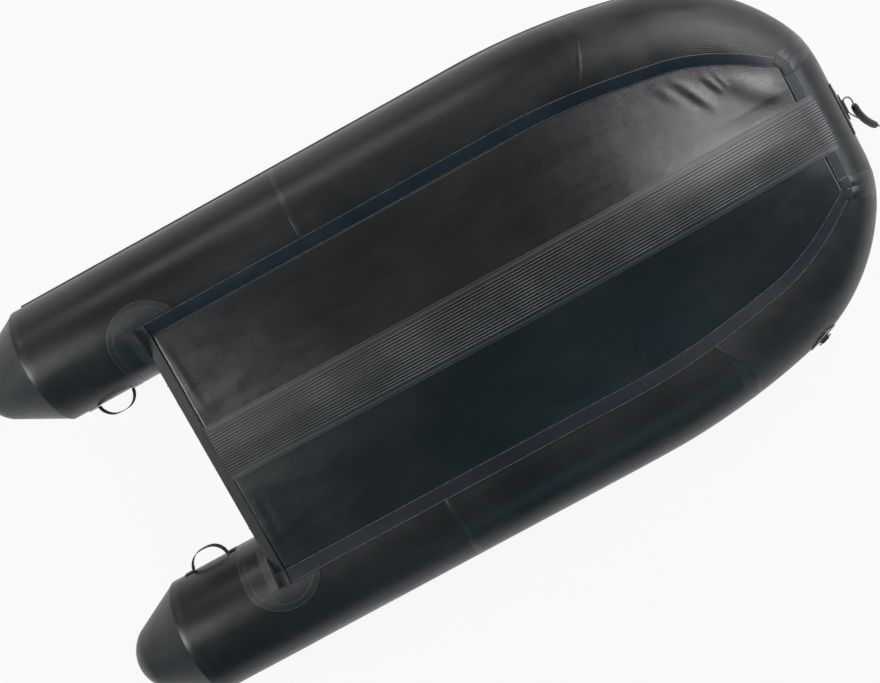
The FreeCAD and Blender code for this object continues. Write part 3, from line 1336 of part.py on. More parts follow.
aftFoot = Vector(-size("tailSeam"), 0, -tubeRadius)
bowCentre = bowTubeFrame.Base
toBow = bowCentre - aftFoot
floorTurn = math.degrees(math.atan2(toBow.z, toBow.x) - math.asin(tubeRadius / toBow.Length))
pitched = Placement(origin, Rotation(axisY, floorTurn))
softNodes = ("bow_handle_rope",)
firm = [node.Shape.copy() for node in nodes if node.Label not in softNodes]
for shape in firm:
    shape.Placement = pitched.multiply(shape.Placement)
extent = Part.makeCompound(firm).optimalBoundingBox(False, False)
stance = Placement(Vector(-(extent.XMin + extent.XMax) * half, 0, -pitched.multVec(aftFoot).z),
                   Rotation()).multiply(pitched)
for node in nodes:
    if node not in riders:
        node.Placement = stance.multiply(node.Placement)
doc.recompute()

# Checks and export

for thing in doc.Objects:
    if "Invalid" in thing.State or "Error" in thing.State:
        raise RuntimeError("%s failed: %s" % (thing.Label, thing.State))
os.makedirs("parts", exist_ok=True)
for node in nodes:
    shape = node.Shape
    if shape.isNull() or not shape.isValid() or not shape.Solids:
        raise RuntimeError("%s has no sound solid" % node.Label)
    shape.exportStep("parts/%s.step" % node.Label)


# Places that the record needs, in metres in the finished frame

metre = 1000
decimals = 5


def told(name, point, way=None):
    place = [round(value / metre, decimals) for value in stance.multVec(point)]
    line = "%s at %s" % (name, place)
    if way is not None:
        line += " along %s" % [round(value, decimals) for value in stance.Rotation.multVec(way)]
    print(line)


print("pitch", round(floorTurn, 4), "extent", extent)
told("transom foot", origin, axisX)
told("bow tube centre", bowCentre, bowFrame.Rotation.multVec(axisZ))
told("rowlock axis", lockFrame.multVec(Vector(0, 0, tubeRadius + size("lockBossHigh"))),
     lockFrame.Rotation.multVec(axisZ))
told("tow ring bar", sideRingFrame.multVec(Vector(0, 0, barHigh(size("sideRingWire")))),
     sideRingFrame.Rotation.multVec(axisX))
told("bow ring bar", bowRingFrame.multVec(Vector(0, 0, barHigh(size("bowRingWire")))),
     bowRingFrame.Rotation.multVec(axisX))
told("outer pad face", Vector(-size("outerPadThick") - size("glueGap"), 0, -size("boardMotor") * half),
     -axisX)
told("inner pad face", Vector(size("boardThick") + size("glueGap") + size("innerPadThick"), 0,
                              -size("boardMotor") + size("innerPadDeep") * half), axisX)
told("towing eye", Vector(-size("glueGap") - size("eyePlateThick") - size("eyeRadius") * half,
                          size("eyeSide"), size("eyeHigh")), axisY)
for point in handlePoints:
    told("rope point", point)
print(len(nodes), "pieces written")
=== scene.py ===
import json
import math

import bpy
from mathutils import Matrix, Vector, noise

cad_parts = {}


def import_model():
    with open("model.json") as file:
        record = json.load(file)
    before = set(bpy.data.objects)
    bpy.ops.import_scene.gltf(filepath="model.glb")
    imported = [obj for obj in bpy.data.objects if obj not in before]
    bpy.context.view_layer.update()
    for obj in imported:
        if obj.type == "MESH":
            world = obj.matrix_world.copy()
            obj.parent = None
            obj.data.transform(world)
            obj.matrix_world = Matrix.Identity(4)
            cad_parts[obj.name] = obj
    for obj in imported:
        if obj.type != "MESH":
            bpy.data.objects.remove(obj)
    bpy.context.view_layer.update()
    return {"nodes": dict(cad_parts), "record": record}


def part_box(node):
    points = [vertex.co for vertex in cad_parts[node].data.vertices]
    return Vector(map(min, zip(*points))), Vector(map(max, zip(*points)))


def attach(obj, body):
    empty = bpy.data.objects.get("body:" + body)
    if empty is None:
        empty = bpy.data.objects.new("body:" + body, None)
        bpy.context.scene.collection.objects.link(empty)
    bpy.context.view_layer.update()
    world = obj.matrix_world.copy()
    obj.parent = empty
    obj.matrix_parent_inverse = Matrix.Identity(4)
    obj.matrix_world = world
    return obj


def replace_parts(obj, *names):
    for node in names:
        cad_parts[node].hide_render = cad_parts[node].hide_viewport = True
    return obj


# Inflatable boat with a soft keeled bottom, stored upside down on its tubes.
# The hull frame has X from the transom to the bow, Y to starboard and Z to the keel.

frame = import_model()
nodes = frame["nodes"]
print("frame loaded:", len(nodes), "nodes")

boat = {
    "tubeRadius": 0.217, "beam": 1.566, "rubThick": 0.008, "tailSeam": 0.390,
    "coneRun": 0.190, "coneEndRadius": 0.117, "coneDome": 0.062,
    "kinkPlace": 1.400, "bowRise": 6, "easyRadius": 2.490, "easyTurn": 13,
    "tightRadius": 0.485, "tightTurn": 45, "cornerRun": 0.064,
    "tubeBend": 0.13, "clothBend": 0.32, "cornerBend": 0.11, "cornerInside": 0.03,
    "mountPlace": (-0.0053, 0, -0.086)}         # motor_aft_face, in the hull frame
sides = ((1, "starboard"), (-1, "port"))

tubeRadius = boat["tubeRadius"]
tubeSide = boat["beam"] / 2 - boat["rubThick"] - tubeRadius
easyRun = boat["easyRadius"] * math.radians(boat["easyTurn"])
bendRun = easyRun + boat["tightRadius"] * math.radians(boat["tightTurn"])
mitreRun = bendRun + boat["cornerRun"]
mitreHalf = (90 - boat["easyTurn"] - boat["tightTurn"]) / 2
kinkHalf = boat["bowRise"] / 2


def sine(angle):
    return math.sin(math.radians(angle))


def cosine(angle):
    return math.cos(math.radians(angle))


def tangent(angle):
    return math.tan(math.radians(angle))


def clamped(value):
    return min(max(value, 0), 1)


def smooth(share):
    return clamped(share) ** 2 * (3 - 2 * clamped(share))


def shares(count):                              # from 0 to 1 in even steps
    return [index / count for index in range(count + 1)]


def wayAt(points, index):                       # where a line of points heads at one of them
    return (points[min(index + 1, len(points) - 1)] - points[max(index - 1, 0)]).normalized()


def ringRound(centre, right, up, radius, count):
    angles = [360 * step / count for step in range(count)]
    return [centre + right * (radius * cosine(angle)) + up * (radius * sine(angle)) for angle in angles]


def turnedFrame(base, place, angle, axis):
    return base @ Matrix.Translation(place) @ Matrix.Rotation(math.radians(angle), 4, axis)


def findHullFrame():
    mount = next(m for m in frame["record"]["mounts"] if m["name"] == "motor_aft_face")
    ahead = -Vector(mount["axis"]).normalized()
    turned = Matrix((ahead, (0, 1, 0), ahead.cross(Vector((0, 1, 0))))).transposed()
    foot = Vector(mount["pos_m"]) - turned @ Vector(boat["mountPlace"])
    return Matrix.Translation(foot) @ turned.to_4x4()


hullFrame = findHullFrame()
hullTurn = hullFrame.to_3x3()
bowFrame = turnedFrame(hullFrame, (boat["kinkPlace"], 0, 0), boat["bowRise"], "Y")
kinkFrame = turnedFrame(hullFrame, (boat["kinkPlace"], 0, 0), kinkHalf, "Y")
kinkBack = kinkFrame.inverted()


def across(point, side):                        # the same point on the other side of the boat
    return Vector((point[0], side * point[1], point[2]))


def bowStation(run):
    easy, tight = boat["easyRadius"], boat["tightRadius"]
    heading = math.degrees(min(max(run, 0), easyRun) / easy)
    x = easy * sine(heading)
    y = tubeSide - easy * (1 - cosine(heading))
    if run > easyRun:
        heading += math.degrees((min(run, bendRun) - easyRun) / tight)
        x += tight * (sine(heading) - sine(boat["easyTurn"]))
        y -= tight * (cosine(boat["easyTurn"]) - cosine(heading))
    straight = run if run < 0 else max(run - bendRun, 0)
    place = (x + straight * cosine(heading), y - straight * sine(heading), 0)
    return turnedFrame(Matrix(), place, -heading, "Z")


mitrePoint = bowStation(mitreRun).translation
cornerFrame = turnedFrame(bowFrame, mitrePoint, mitreHalf - 90, "Z")
cornerBack = cornerFrame.inverted()


def sideAt(run):
    return hullFrame @ Matrix.Translation((run, tubeSide, 0))


def quarterAt(run):
    return bowFrame @ bowStation(run)


def frontAt(run):                               # along the bow tube, run to port, from its middle
    return turnedFrame(bowFrame, (mitrePoint.x, -run, 0), -90, "Z")


def kinkCut(turn):                              # how far the joint at the bend leans along the tube
    return tubeRadius * cosine(turn) * tangent(kinkHalf)


def mitreCut(turn):
    return tubeRadius * sine(turn) * tangent(mitreHalf)


def sideEnd(turn):
    return boat["kinkPlace"] + kinkCut(turn)


def quarterEnd(turn):
    return mitreRun - mitreCut(turn)


def frontEnd(turn):
    return mitrePoint.y - mitreCut(turn)


def roundKink(point, reach):                    # inflated fabric bends where the plan has a corner
    local = kinkBack @ point
    near = max(reach - abs(local.x), 0)
    local.z -= math.radians(boat["bowRise"]) / (4 * reach) * near * near
    return kinkFrame @ local


def roundCorner(point):                         # only the outer side of the mitre swells into one curve
    local = cornerBack @ point
    outer = smooth((local.y + boat["cornerInside"]) / (tubeRadius + boat["cornerInside"]))
    near = max(boat["cornerBend"] - abs(local.x), 0)
    local.y -= math.radians(2 * mitreHalf) / (4 * boat["cornerBend"]) * near * near * outer
    return cornerFrame @ local


def onTube(frameAt, run, turn, radius):         # turn: inboard from the keel side crown
    bare = frameAt(run) @ Vector((0, -radius * sine(turn), radius * cosine(turn)))
    point = roundKink(bare, boat["tubeBend"])
    return across(roundCorner(across(point, -1)), -1) if point.y < 0 else roundCorner(point)


# Shader maths

class Signal:
    def __init__(self, look, socket):
        self.look = look
        self.socket = socket

    def maths(self, operation, *others):
        return self.look.node("Math", "Value", {"operation": operation}, dict(enumerate((self,) + others)))

    def __add__(self, other):
        return self.maths("ADD", other)

    def __mul__(self, other):
        return self.maths("MULTIPLY", other)

    __radd__ = __add__
    __rmul__ = __mul__

    def __sub__(self, other):
        return self.maths("SUBTRACT", other)

    def __rsub__(self, other):
        return self.look.node("Math", "Value", {"operation": "SUBTRACT"}, {0: other, 1: self})

    def sine(self):
        return self.maths("SINE")

    def size(self):
        return self.maths("ABSOLUTE")

    def most(self, other):
        return self.maths("MAXIMUM", other)

    def ease(self, low, high):                  # 0 below low, 1 above high, smooth between
        return self.look.node("MapRange", "Result", {"interpolation_type": "SMOOTHSTEP"},
                              {"Value": self, "From Min": low, "From Max": high})


class Look:
    def __init__(self, owner):
        owner.use_nodes = True
        self.tree = owner.node_tree
        self.tree.nodes.clear()

    def node(self, kind, output, settings=None, values=None):
        made = self.tree.nodes.new("ShaderNode" + kind)
        for key, value in (settings or {}).items():
            if key == "stops":
                ramp = made.color_ramp.elements
                while len(ramp) < len(value):
                    ramp.new(0.5)
                for element, (place, colour) in zip(ramp, value):
                    element.position = place
                    element.color = (*colour, 1)
            else:
                setattr(made, key, value)
        for key, value in (values or {}).items():
            self.feed(made.inputs[key], value)
        return Signal(self, made.outputs[output]) if output else made

    def feed(self, socket, value):
        if isinstance(value, Signal):
            self.tree.links.new(value.socket, socket)
        elif socket.type == "RGBA" and len(value) == 3:
            socket.default_value = (*value, 1)
        else:
            socket.default_value = value

    def place(self):
        return self.node("TexCoord", "Object")

    def painted(self, name):
        return self.node("Attribute", "Vector", {"attribute_name": name})

    def part(self, vector, axis):
        return self.node("SeparateXYZ", axis, None, {"Vector": vector})

    def grain(self, vector, scale, detail, rough=0.6, warp=0, stretch=None):
        if stretch:
            vector = self.node("VectorMath", "Vector", {"operation": "MULTIPLY"}, {0: vector, 1: stretch})
        return self.node("TexNoise", "Fac", None, {"Vector": vector, "Scale": scale, "Detail": detail,
                                                   "Roughness": rough, "Distortion": warp})

    def blend(self, amount, first, second):
        return self.node("Mix", 2, {"data_type": "RGBA"}, {0: amount, 6: first, 7: second})

    def bump(self, height, distance, normal=None):
        values = {"Height": height, "Distance": distance, "Strength": 1.0}
        if normal is not None:
            values["Normal"] = normal
        return self.node("Bump", "Normal", None, values)

    def finish(self, **values):
        names = {"colour": "Base Color", "specular": "Specular IOR Level", "coat": "Coat Weight",
                 "coatRoughness": "Coat Roughness", "sheen": "Sheen Weight",
                 "sheenRoughness": "Sheen Roughness"}
        sockets = {names.get(key, key.capitalize()): value for key, value in values.items()}
        shader = self.node("BsdfPrincipled", "BSDF", None, sockets)
        self.node("OutputMaterial", None, None, {"Surface": shader})


materials = {}


def material(name):
    made = bpy.data.materials.new(name)
    materials[name] = made
    return Look(made)


# Coated fabrics: one set of values, and what each kind has of its own

fabric = {
    "colour": (0.0098, 0.0098, 0.0098), "worn": (0.0190, 0.0186, 0.0182), "dust": (0.060, 0.058, 0.056),
    "roughness": 0.34, "smearRough": 0.26, "speckRough": 0.10, "specular": 0.27, "scuffed": 0.25,
    "specked": 0.05, "scrim": 0.0034, "scrimDepth": 0.00005, "scrimLeast": 0.35, "hideHigh": 0.8,
    "broad": (2.2, 4, 0.55), "smear": (5.0, 5, 0.62, 0.6, (1.0, 3.2, 3.2)), "speck": (260, 2),
    "hide": (900, 2, 0.5), "slack": (9, 3, 0.5), "slackDepth": 0.0016, "skin": False, "bias": None}
fabricKinds = {
    "tubeFabric": {"skin": True, "bias": 0.7071},
    "panelFabric": {"skin": True, "bias": 0.7071},
    # The cones take the tubes' coat painted about twice as light and a little blue: a painted highlight of
    # the light on the cones; the coarser, deeper scrim is their own
    "coneFabricPaintedHighlight": {"skin": True, "colour": (0.0185, 0.0192, 0.0195), "worn": (0.0330, 0.0345, 0.0350),
                   "scrim": 0.0050, "scrimDepth": 0.00016},
    "patchFabric": {"colour": (0.0125, 0.0125, 0.0125), "roughness": 0.33, "specular": 0.5},
    "tapeFabric": {"specular": 0.42},
    "bottomFabric": {"colour": (0.0078, 0.0080, 0.0083), "worn": (0.0145, 0.0145, 0.0145), "roughness": 0.30,
                     "scuffed": 0.03, "specular": 0.45},
    "stripFabric": {"colour": (0.0060, 0.0085, 0.0130), "worn": (0.0120, 0.0160, 0.0220), "roughness": 0.44,
                    "specular": 0.25}}
panel = {"scrim": 0.0060, "start": 0.290, "fade": 0.004, "lean": 0.05, "cover": (2.6, 3, 0.5), "share": 0.55,
         "thread": (0.052, 0.052, 0.052), "depth": 0.00022}


def coatedFabric(name):
    own = dict(fabric, **fabricKinds[name])
    look = material(name)
    place = look.place()
    mapped = look.painted("skin") if own["skin"] else place
    along, around = look.part(mapped, "X"), look.part(mapped, "Y")
    warp, weft = along, around
    if own["bias"]:                             # threads at 45 degrees to the tube
        warp, weft = (along + around) * own["bias"], (along - around) * own["bias"]
    broad, smear, speck = (look.grain(place, *own[key]) for key in ("broad", "smear", "speck"))
    scuff = smear.ease(0.56, 0.80) * broad.ease(0.40, 0.66) * own["scuffed"]
    colour = look.blend(broad.ease(0.34, 0.70), own["colour"], own["worn"])
    colour = look.blend(scuff + speck.ease(0.66, 0.84) * own["specked"], colour, own["dust"])
    roughness = own["roughness"] + (smear - 0.5) * own["smearRough"] + (speck - 0.5) * own["speckRough"]
    wave = 2 * math.pi / own["scrim"]
    threads = (warp * wave).sine() * (weft * wave).sine()
    hide = look.grain(place, *own["hide"]) - 0.5
    height = threads * (own["scrimLeast"] + broad.ease(0.42, 0.62) * (1 - own["scrimLeast"]))
    normal = look.bump(look.grain(place, *own["slack"]), own["slackDepth"])
    normal = look.bump(height + hide * own["hideHigh"], own["scrimDepth"], normal)
    if name == "panelFabric":                   # the bow panels' scrim shows through the coat
        lines = ((around + along * panel["lean"]) * (2 * math.pi / panel["scrim"])).sine()
        shows = along.ease(panel["start"], panel["start"] + panel["fade"])
        shows = shows * look.grain(place, *panel["cover"]).ease(0.36, 0.60)
        colour = look.blend(lines.ease(-0.2, 1.0) * shows * panel["share"], colour, panel["thread"])
        normal = look.bump(lines * shows, panel["depth"], normal)
    look.finish(colour=colour, roughness=roughness, normal=normal, specular=own["specular"])


# Plain finishes: two tones in blotches and a fine relief
# rough: a base, and what the blotches and the relief add to it

plainFinishes = {
    # The beads' fabric is several times lighter than the coat it stands on, so each bead shows as a thin
    # light line: painted highlight
    "highlightBeadFabric": {"tones": ((0.032, 0.033, 0.035), (0.085, 0.087, 0.090)), "blotch": (90, 4),
                   "fine": (90, 4), "depth": 0.0002, "rough": (0.30, 0.15, 0), "shader": {"specular": 0.5}},
    "holderRubber": {"tones": ((0.016, 0.016, 0.017), (0.042, 0.042, 0.042)), "blotch": (11, 4),
                     "fine": (700, 2), "depth": 0.00007, "rough": (0.30, 0.18, 0),
                     "shader": {"specular": 0.6}},
    "mouldedPlastic": {"tones": ((0.020, 0.020, 0.021), (0.040, 0.040, 0.041)), "blotch": (18, 4),
                       "fine": (1300, 2, 0.55), "depth": 0.00007, "rough": (0.32, 0.20, 0),
                       "shader": {"specular": 0.5}},
    "gripRubber": {"tones": ((0.006, 0.006, 0.0065), (0.017, 0.017, 0.018)), "blotch": (40, 4),
                   "fine": (900, 3), "depth": 0.00012, "rough": (0.40, 0.20, 0),
                   "shader": {"specular": 0.45}},
    "stitchThread": {"tones": ((0.035, 0.035, 0.037), (0.11, 0.11, 0.115)), "blotch": (2200, 3),
                     "fine": (2200, 3), "depth": 0.0001, "rough": (0.7, 0, 0), "spread": None,
                     "shader": {"specular": 0.3}},
    "millAluminium": {"tones": ((0.60, 0.61, 0.62), (0.48, 0.49, 0.50)), "blotch": (24, 4),
                      "fine": (6, 4, 0.6, 0, (1.5, 260, 260)), "depth": 0.00008, "rough": (0.30, 0, 0.22),
                      "shader": {"metallic": 1.0}},
    "wireSteel": {"tones": ((0.72, 0.72, 0.73), (0.50, 0.50, 0.51)), "blotch": (70, 4), "spread": (0.4, 0.75),
                  "fine": (240, 4), "depth": 0.00003, "rough": (0.14, 0, 0.16), "shader": {"metallic": 1.0}}}


def plainFinish(name):
    own = plainFinishes[name]
    look = material(name)
    place = look.place()
    blotch, fine = look.grain(place, *own["blotch"]), look.grain(place, *own["fine"])
    spread = own.get("spread", (0.3, 0.7))
    tone = blotch.ease(*spread) if spread else blotch
    roughness, byBlotch, byFine = own["rough"]
    if byBlotch:
        roughness = blotch * byBlotch + roughness
    if byFine:
        roughness = fine * byFine + roughness
    look.finish(colour=look.blend(tone, *own["tones"]), roughness=roughness,
                normal=look.bump(fine, own["depth"]), **own["shader"])


# Finishes of rubber, wood, webbing and rope with patterns of their own

strake = {"half": 0.104, "margin": 0.024, "ribs": 16, "base": 0.003, "ribHeight": 0.005, "ribFoot": 0.007,
          "ribCrest": 0.004, "ribRound": 0.0007, "endTurn": 20}


strakeLook = {
    # crest, gap and line tones are painted light: a highlight on the rib crests, shade between the ribs, and
    # highlight lines on the edge rims
    "tones": ((0.0095, 0.0095, 0.0100), (0.022, 0.0218, 0.0215)), "crest": (0.150, 0.148, 0.147),
    "gap": (0.0028, 0.0028, 0.0028), "line": (0.075, 0.075, 0.075), "crestHighlightShare": (0.45, 0.50),
    "gapShadeShare": 0.90, "lineHighlightShare": 0.60, "edgeHighlightLine": (0.0030, 0.0022), "innerHighlightLine": 0.0126,
    "innerHighlightHalf": (0.0020, 0.0028),
    "streak": (7, 5, 0.6, 0, (0.5, 14, 6)), "mottle": (3.2, 4), "fine": (420, 3), "fineDepth": 0.00006,
    "streakDepth": 0.0005, "roughness": 0.42, "crestRough": 0.12, "mottleRough": 0.18}


def strakeRubber():
    own = strakeLook
    look = material("strakeRubber")
    place = look.place()
    away = look.part(look.painted("skin"), "Y")
    half, flat = strake["half"], strake["half"] - strake["margin"]
    wave = (away * (math.pi * strake["ribs"] / flat) - math.pi / 2).sine()
    ribbed = 1 - away.size().ease(flat - 0.001, flat)
    crest = wave.ease(0.15, 0.75) * ribbed
    streak, mottle, fine = (look.grain(place, *own[key]) for key in ("streak", "mottle", "fine"))
    colour = look.blend(streak.ease(0.35, 0.72), *own["tones"])
    least, more = own["crestHighlightShare"]
    # rib crests painted light, patchy by the mottle: a painted highlight
    colour = look.blend(crest * (least + mottle.ease(0.4, 0.65) * more), colour, own["crest"])
    # between the ribs painted dark: painted shade
    colour = look.blend(ribbed * (1 - wave.ease(-0.95, -0.30)) * own["gapShadeShare"], colour, own["gap"])
    # thin light lines on the strake's outer edge and on its raised edge rim: painted highlights
    edge = away.size().ease(*(half - inward for inward in own["edgeHighlightLine"]))
    inner = 1 - (away.size() - half + own["innerHighlightLine"]).size().ease(*own["innerHighlightHalf"])
    colour = look.blend(edge.most(inner) * own["lineHighlightShare"], colour, own["line"])
    roughness = own["roughness"] - crest * own["crestRough"] + (mottle - 0.5) * own["mottleRough"]
    normal = look.bump(fine, own["fineDepth"], look.bump(streak, own["streakDepth"]))
    look.finish(colour=colour, roughness=roughness, normal=normal, specular=0.5)


# Two tones in one grain, marks in another, and reliefs laid in the order given

markedFinishes = {
    "rubRubber": {"tones": ((0.030, 0.031, 0.027), (0.062, 0.062, 0.054)), "grain": (4, 4),
                  "marks": (16, 4, 0.6, 0, (0.3, 1, 22)), "markEase": (0.62, 0.75), "markShare": 0.5,
                  "mark": (0.12, 0.12, 0.11), "fine": (600, 2), "rough": (0.37, 0.3), "specular": 0.4,
                  "reliefs": (("marks", 0.0003), ("fine", 0.00008))},
    "paintedWood": {"tones": ((0.010, 0.010, 0.011), (0.024, 0.024, 0.024)),
                    "grain": (3.2, 5, 0.65, 0.8, (60, 1.4, 30)), "marks": (34, 4, 0.7),
                    "markEase": (0.68, 0.74), "markShare": 0.6, "mark": (0.11, 0.085, 0.055),
                    "fine": (300, 3), "rough": (0.335, 0.25), "specular": 0.45,
                    "reliefs": (("fine", 0.00006), ("grain", 0.0006))}}


def markedFinish(name):
    own = markedFinishes[name]
    look = material(name)
    place = look.place()
    grains = {key: look.grain(place, *own[key]) for key in ("grain", "marks", "fine")}
    colour = look.blend(grains["grain"].ease(0.3, 0.7), *own["tones"])
    colour = look.blend(grains["marks"].ease(*own["markEase"]) * own["markShare"], colour, own["mark"])
    normal = None
    for key, depth in own["reliefs"]:
        normal = look.bump(grains[key], depth, normal)
    base, more = own["rough"]
    look.finish(colour=colour, roughness=grains["grain"] * more + base, normal=normal,
                specular=own["specular"])


varnish = {"drift": (2.4, 3, 0.5, 0, (0.7, 6, 6)), "rings": 95, "wander": 26,
           "fibre": (4, 4, 0.65, 0, (6, 160, 160)), "tones": ((0.36, 0.225, 0.105), (0.25, 0.140, 0.058)),
           "pore": (0.16, 0.085, 0.035),
           "roughness": 0.30, "fibreRough": 0.16, "depth": 0.0003}


def varnishedWood():
    look = material("varnishedWood")
    place = look.place()
    drift, fibre = look.grain(place, *varnish["drift"]), look.grain(place, *varnish["fibre"])
    rings = (look.part(place, "Y") * varnish["rings"] + drift * varnish["wander"]).sine()
    colour = look.blend(rings.ease(-0.7, 0.9), *varnish["tones"])
    colour = look.blend(fibre.ease(0.45, 0.75) * 0.5, colour, varnish["pore"])
    look.finish(colour=colour, roughness=varnish["roughness"] + fibre * varnish["fibreRough"],
                normal=look.bump(fibre, varnish["depth"]), specular=0.5, coat=0.35, coatRoughness=0.12)


weave = {"rib": 0.0026, "pick": 0.0022, "fuzz": (1400, 3), "depth": 0.00022,
         "tones": ((0.008, 0.008, 0.0085), (0.045, 0.045, 0.047))}


def wovenWebbing():
    look = material("wovenWebbing")
    skin = look.painted("skin")
    rib = (look.part(skin, "Y") * (2 * math.pi / weave["rib"])).sine()
    pick = (look.part(skin, "X") * (2 * math.pi / weave["pick"]) + rib * 1.5).sine()
    height = rib * 0.7 + pick * 0.5 + (look.grain(look.place(), *weave["fuzz"]) - 0.5) * 0.7
    # the colour follows the weave's relief, dark in its hollows and light on its raised threads: painted
    # shade and highlight
    look.finish(colour=look.blend(height.ease(-0.6, 1.1), *weave["tones"]), roughness=0.82,
                normal=look.bump(height, weave["depth"]), specular=0.3, sheen=0.25, sheenRoughness=0.4)


braid = {"lay": (1, 0.9, 1.1), "strand": 0.0045, "fuzz": (1500, 3), "depth": 0.0003,
         "tones": ((0.05, 0.05, 0.052), (0.30, 0.30, 0.31)), "hair": (0.42, 0.42, 0.43)}


def braidedRope():
    look = material("braidedRope")
    place = look.place()
    along, over, up = (look.part(place, axis) * share for axis, share in zip("XYZ", braid["lay"]))
    strands = ((along + over + up) * (2 * math.pi / braid["strand"])).sine()
    fuzz = look.grain(place, *braid["fuzz"])
    # the colour follows the strands' relief, dark between strands and light on their crowns: painted shade
    # and highlight; the light fuzz is the rope's own hair
    colour = look.blend(strands.ease(-0.8, 0.9), *braid["tones"])
    colour = look.blend(fuzz.ease(0.5, 0.8) * 0.6, colour, braid["hair"])
    look.finish(colour=colour, roughness=0.75, normal=look.bump(strands + fuzz * 0.6, braid["depth"]),
                specular=0.3, sheen=0.3, sheenRoughness=0.4)


for fabricName in fabricKinds:
    coatedFabric(fabricName)
for finishName in plainFinishes:
    plainFinish(finishName)
for finishName in markedFinishes:
    markedFinish(finishName)
for makeMaterial in (strakeRubber, varnishedWood, wovenWebbing, braidedRope):
    makeMaterial()
print("materials made:", len(materials))

# Finishes of the carried-over nodes, by the end of the node's name

nodeFinishes = {
    "patchFabric": ("holder_patch", "ring_patch"), "rubRubber": ("rub_strake",),
    "holderRubber": ("transom_holder", "rowlock_base"), "paintedWood": ("transom_board",),
    "varnishedWood": ("floor_board", "bench_board"), "millAluminium": ("stringer",),
    "mouldedPlastic": ("motor_pad", "bench_rail", "bench_hook", "valve", "drain_plug", "rowlock"),
    "wireSteel": ("tow_ring", "bow_ring", "towing_eye")}

for nodeName, node in nodes.items():
    for finishName, ends in nodeFinishes.items():
        if nodeName.endswith(ends):
            node.data.materials.clear()
            node.data.materials.append(materials[finishName])

# Meshes

slots = {"tube_fabric": ("tubeFabric", "panelFabric", "patchFabric", "coneFabricPaintedHighlight", "tapeFabric"),
         "bottom_fabric": ("bottomFabric", "stripFabric", "highlightBeadFabric"), "strake_rubber": ("strakeRubber",),
         "plain_plastic": ("mouldedPlastic",), "ring_steel": ("wireSteel",),
         "webbing": ("wovenWebbing", "stitchThread"), "rope_fibre": ("braidedRope",),
         "grip_rubber": ("gripRubber",)}
sharpAngle = 38


def addObject(name, data):
    made = bpy.data.objects.new(name, data)
    bpy.context.scene.collection.objects.link(made)
    return made


def meshPiece(name, points, faces, finish, skin, body="hull", smoothed=True):
    mesh = bpy.data.meshes.new(name)
    mesh.from_pydata([tuple(point) for point in points], [], faces)
    mesh.update()
    if smoothed:
        mesh.shade_smooth()
        mesh.set_sharp_from_angle(angle=math.radians(sharpAngle))
    if skin:
        store = mesh.attributes.new("skin", "FLOAT_VECTOR", "POINT")
        store.data.foreach_set("vector", [value for place in skin for value in place])
    mesh.materials.append(materials[finish])
    piece = addObject(name, mesh)
    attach(piece, body)
    next(slot for slot, finishes in slots.items() if finish in finishes)
    return piece


def gridFaces(rows, columns, flip=False, ring=False):
    faces = []
    for row in range(rows - 1):
        for column in range(columns if ring else columns - 1):
            after = (column + 1) % columns
            corner = row * columns
            face = (corner + column, corner + columns + column, corner + columns + after, corner + after)
            faces.append(face[::-1] if flip else face)
    return faces


class Heap:                                     # several small forms gathered into one mesh
    def __init__(self):
        self.points = []
        self.faces = []
        self.skin = []

    def grid(self, rows, flip=False, ring=False, skin=None):
        start = len(self.points)
        flat = [point for row in rows for point in row]
        self.points.extend(flat)
        faces = gridFaces(len(rows), len(rows[0]), flip, ring)
        self.faces.extend([tuple(start + index for index in face) for face in faces])
        self.skin.extend(skin or [(point[0], point[1], 0) for point in flat])

    def tube(self, rows, flip=False, skin=None):    # rings joined and capped
        start = len(self.points)
        self.grid(rows, flip, True, skin)
        first = tuple(range(start, start + len(rows[0])))
        last = tuple(range(len(self.points) - len(rows[0]), len(self.points)))
        self.faces.extend([first if flip else first[::-1], last[::-1] if flip else last])

    def piece(self, name, finish, body="hull", smoothed=True):
        return meshPiece(name, self.points, self.faces, finish, self.skin, body, smoothed)


# Tube skins: inflated fabric, drawn in a little at its seams

tubeShape = {"around": 144, "slackDepth": 0.0012, "slackScale": 3.6, "puckerDepth": 0.0008, "puckerCount": 30,
             "puckerReach": 0.030, "coneRows": 40, "domeRows": 24, "tipGap": 0.00002, "coneSeed": 5.5,
             "coneTurns": 0.01, "domePucker": 0.6, "sideSeed": 1.5, "quarterSeed": 6.2, "frontSeed": 3.3}
skinTurns = [360 * share - 180 for share in shares(tubeShape["around"])]    # open along the deck side line


def slack(point, side, seed):
    place = Vector(point) * tubeShape["slackScale"] + Vector((seed, side * 7.3, 0))
    return tubeShape["slackDepth"] * (0.5 + 0.5 * noise.noise(place))


def pucker(distance, turn, seed):
    wander = noise.noise(Vector((turn * 0.05, seed, 3.1))) * 2.2
    ripple = 0.5 + 0.5 * math.sin(math.radians(turn) * tubeShape["puckerCount"] + wander * 2 + seed)
    gather = 0.35 + 0.65 * (0.5 + 0.5 * noise.noise(Vector((turn * 0.03, seed * 1.7, 9.2))))
    return tubeShape["puckerDepth"] * ripple * gather * math.exp(-max(distance, 0) / tubeShape["puckerReach"])


def tubeSkin(name, node, side, frameAt, starts, ends, rows, seed, finish="tubeFabric"):
    points, skin = [], []
    for share in shares(rows):
        for turn in skinTurns:
            first, last = starts(turn), ends(turn)
            run = first + share * (last - first)
            round_ = turn if turn < 180 else -180
            sink = (slack(onTube(frameAt, run, round_, tubeRadius), side, seed)
                    + pucker(run - first, round_, seed + side) + pucker(last - run, round_, seed + 4 + side))
            points.append(across(onTube(frameAt, run, round_, tubeRadius - sink), side))
            skin.append((run, math.radians(turn) * tubeRadius, 0))
    faces = gridFaces(rows + 1, len(skinTurns), side > 0)
    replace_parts(meshPiece(name, points, faces, finish, skin), node)


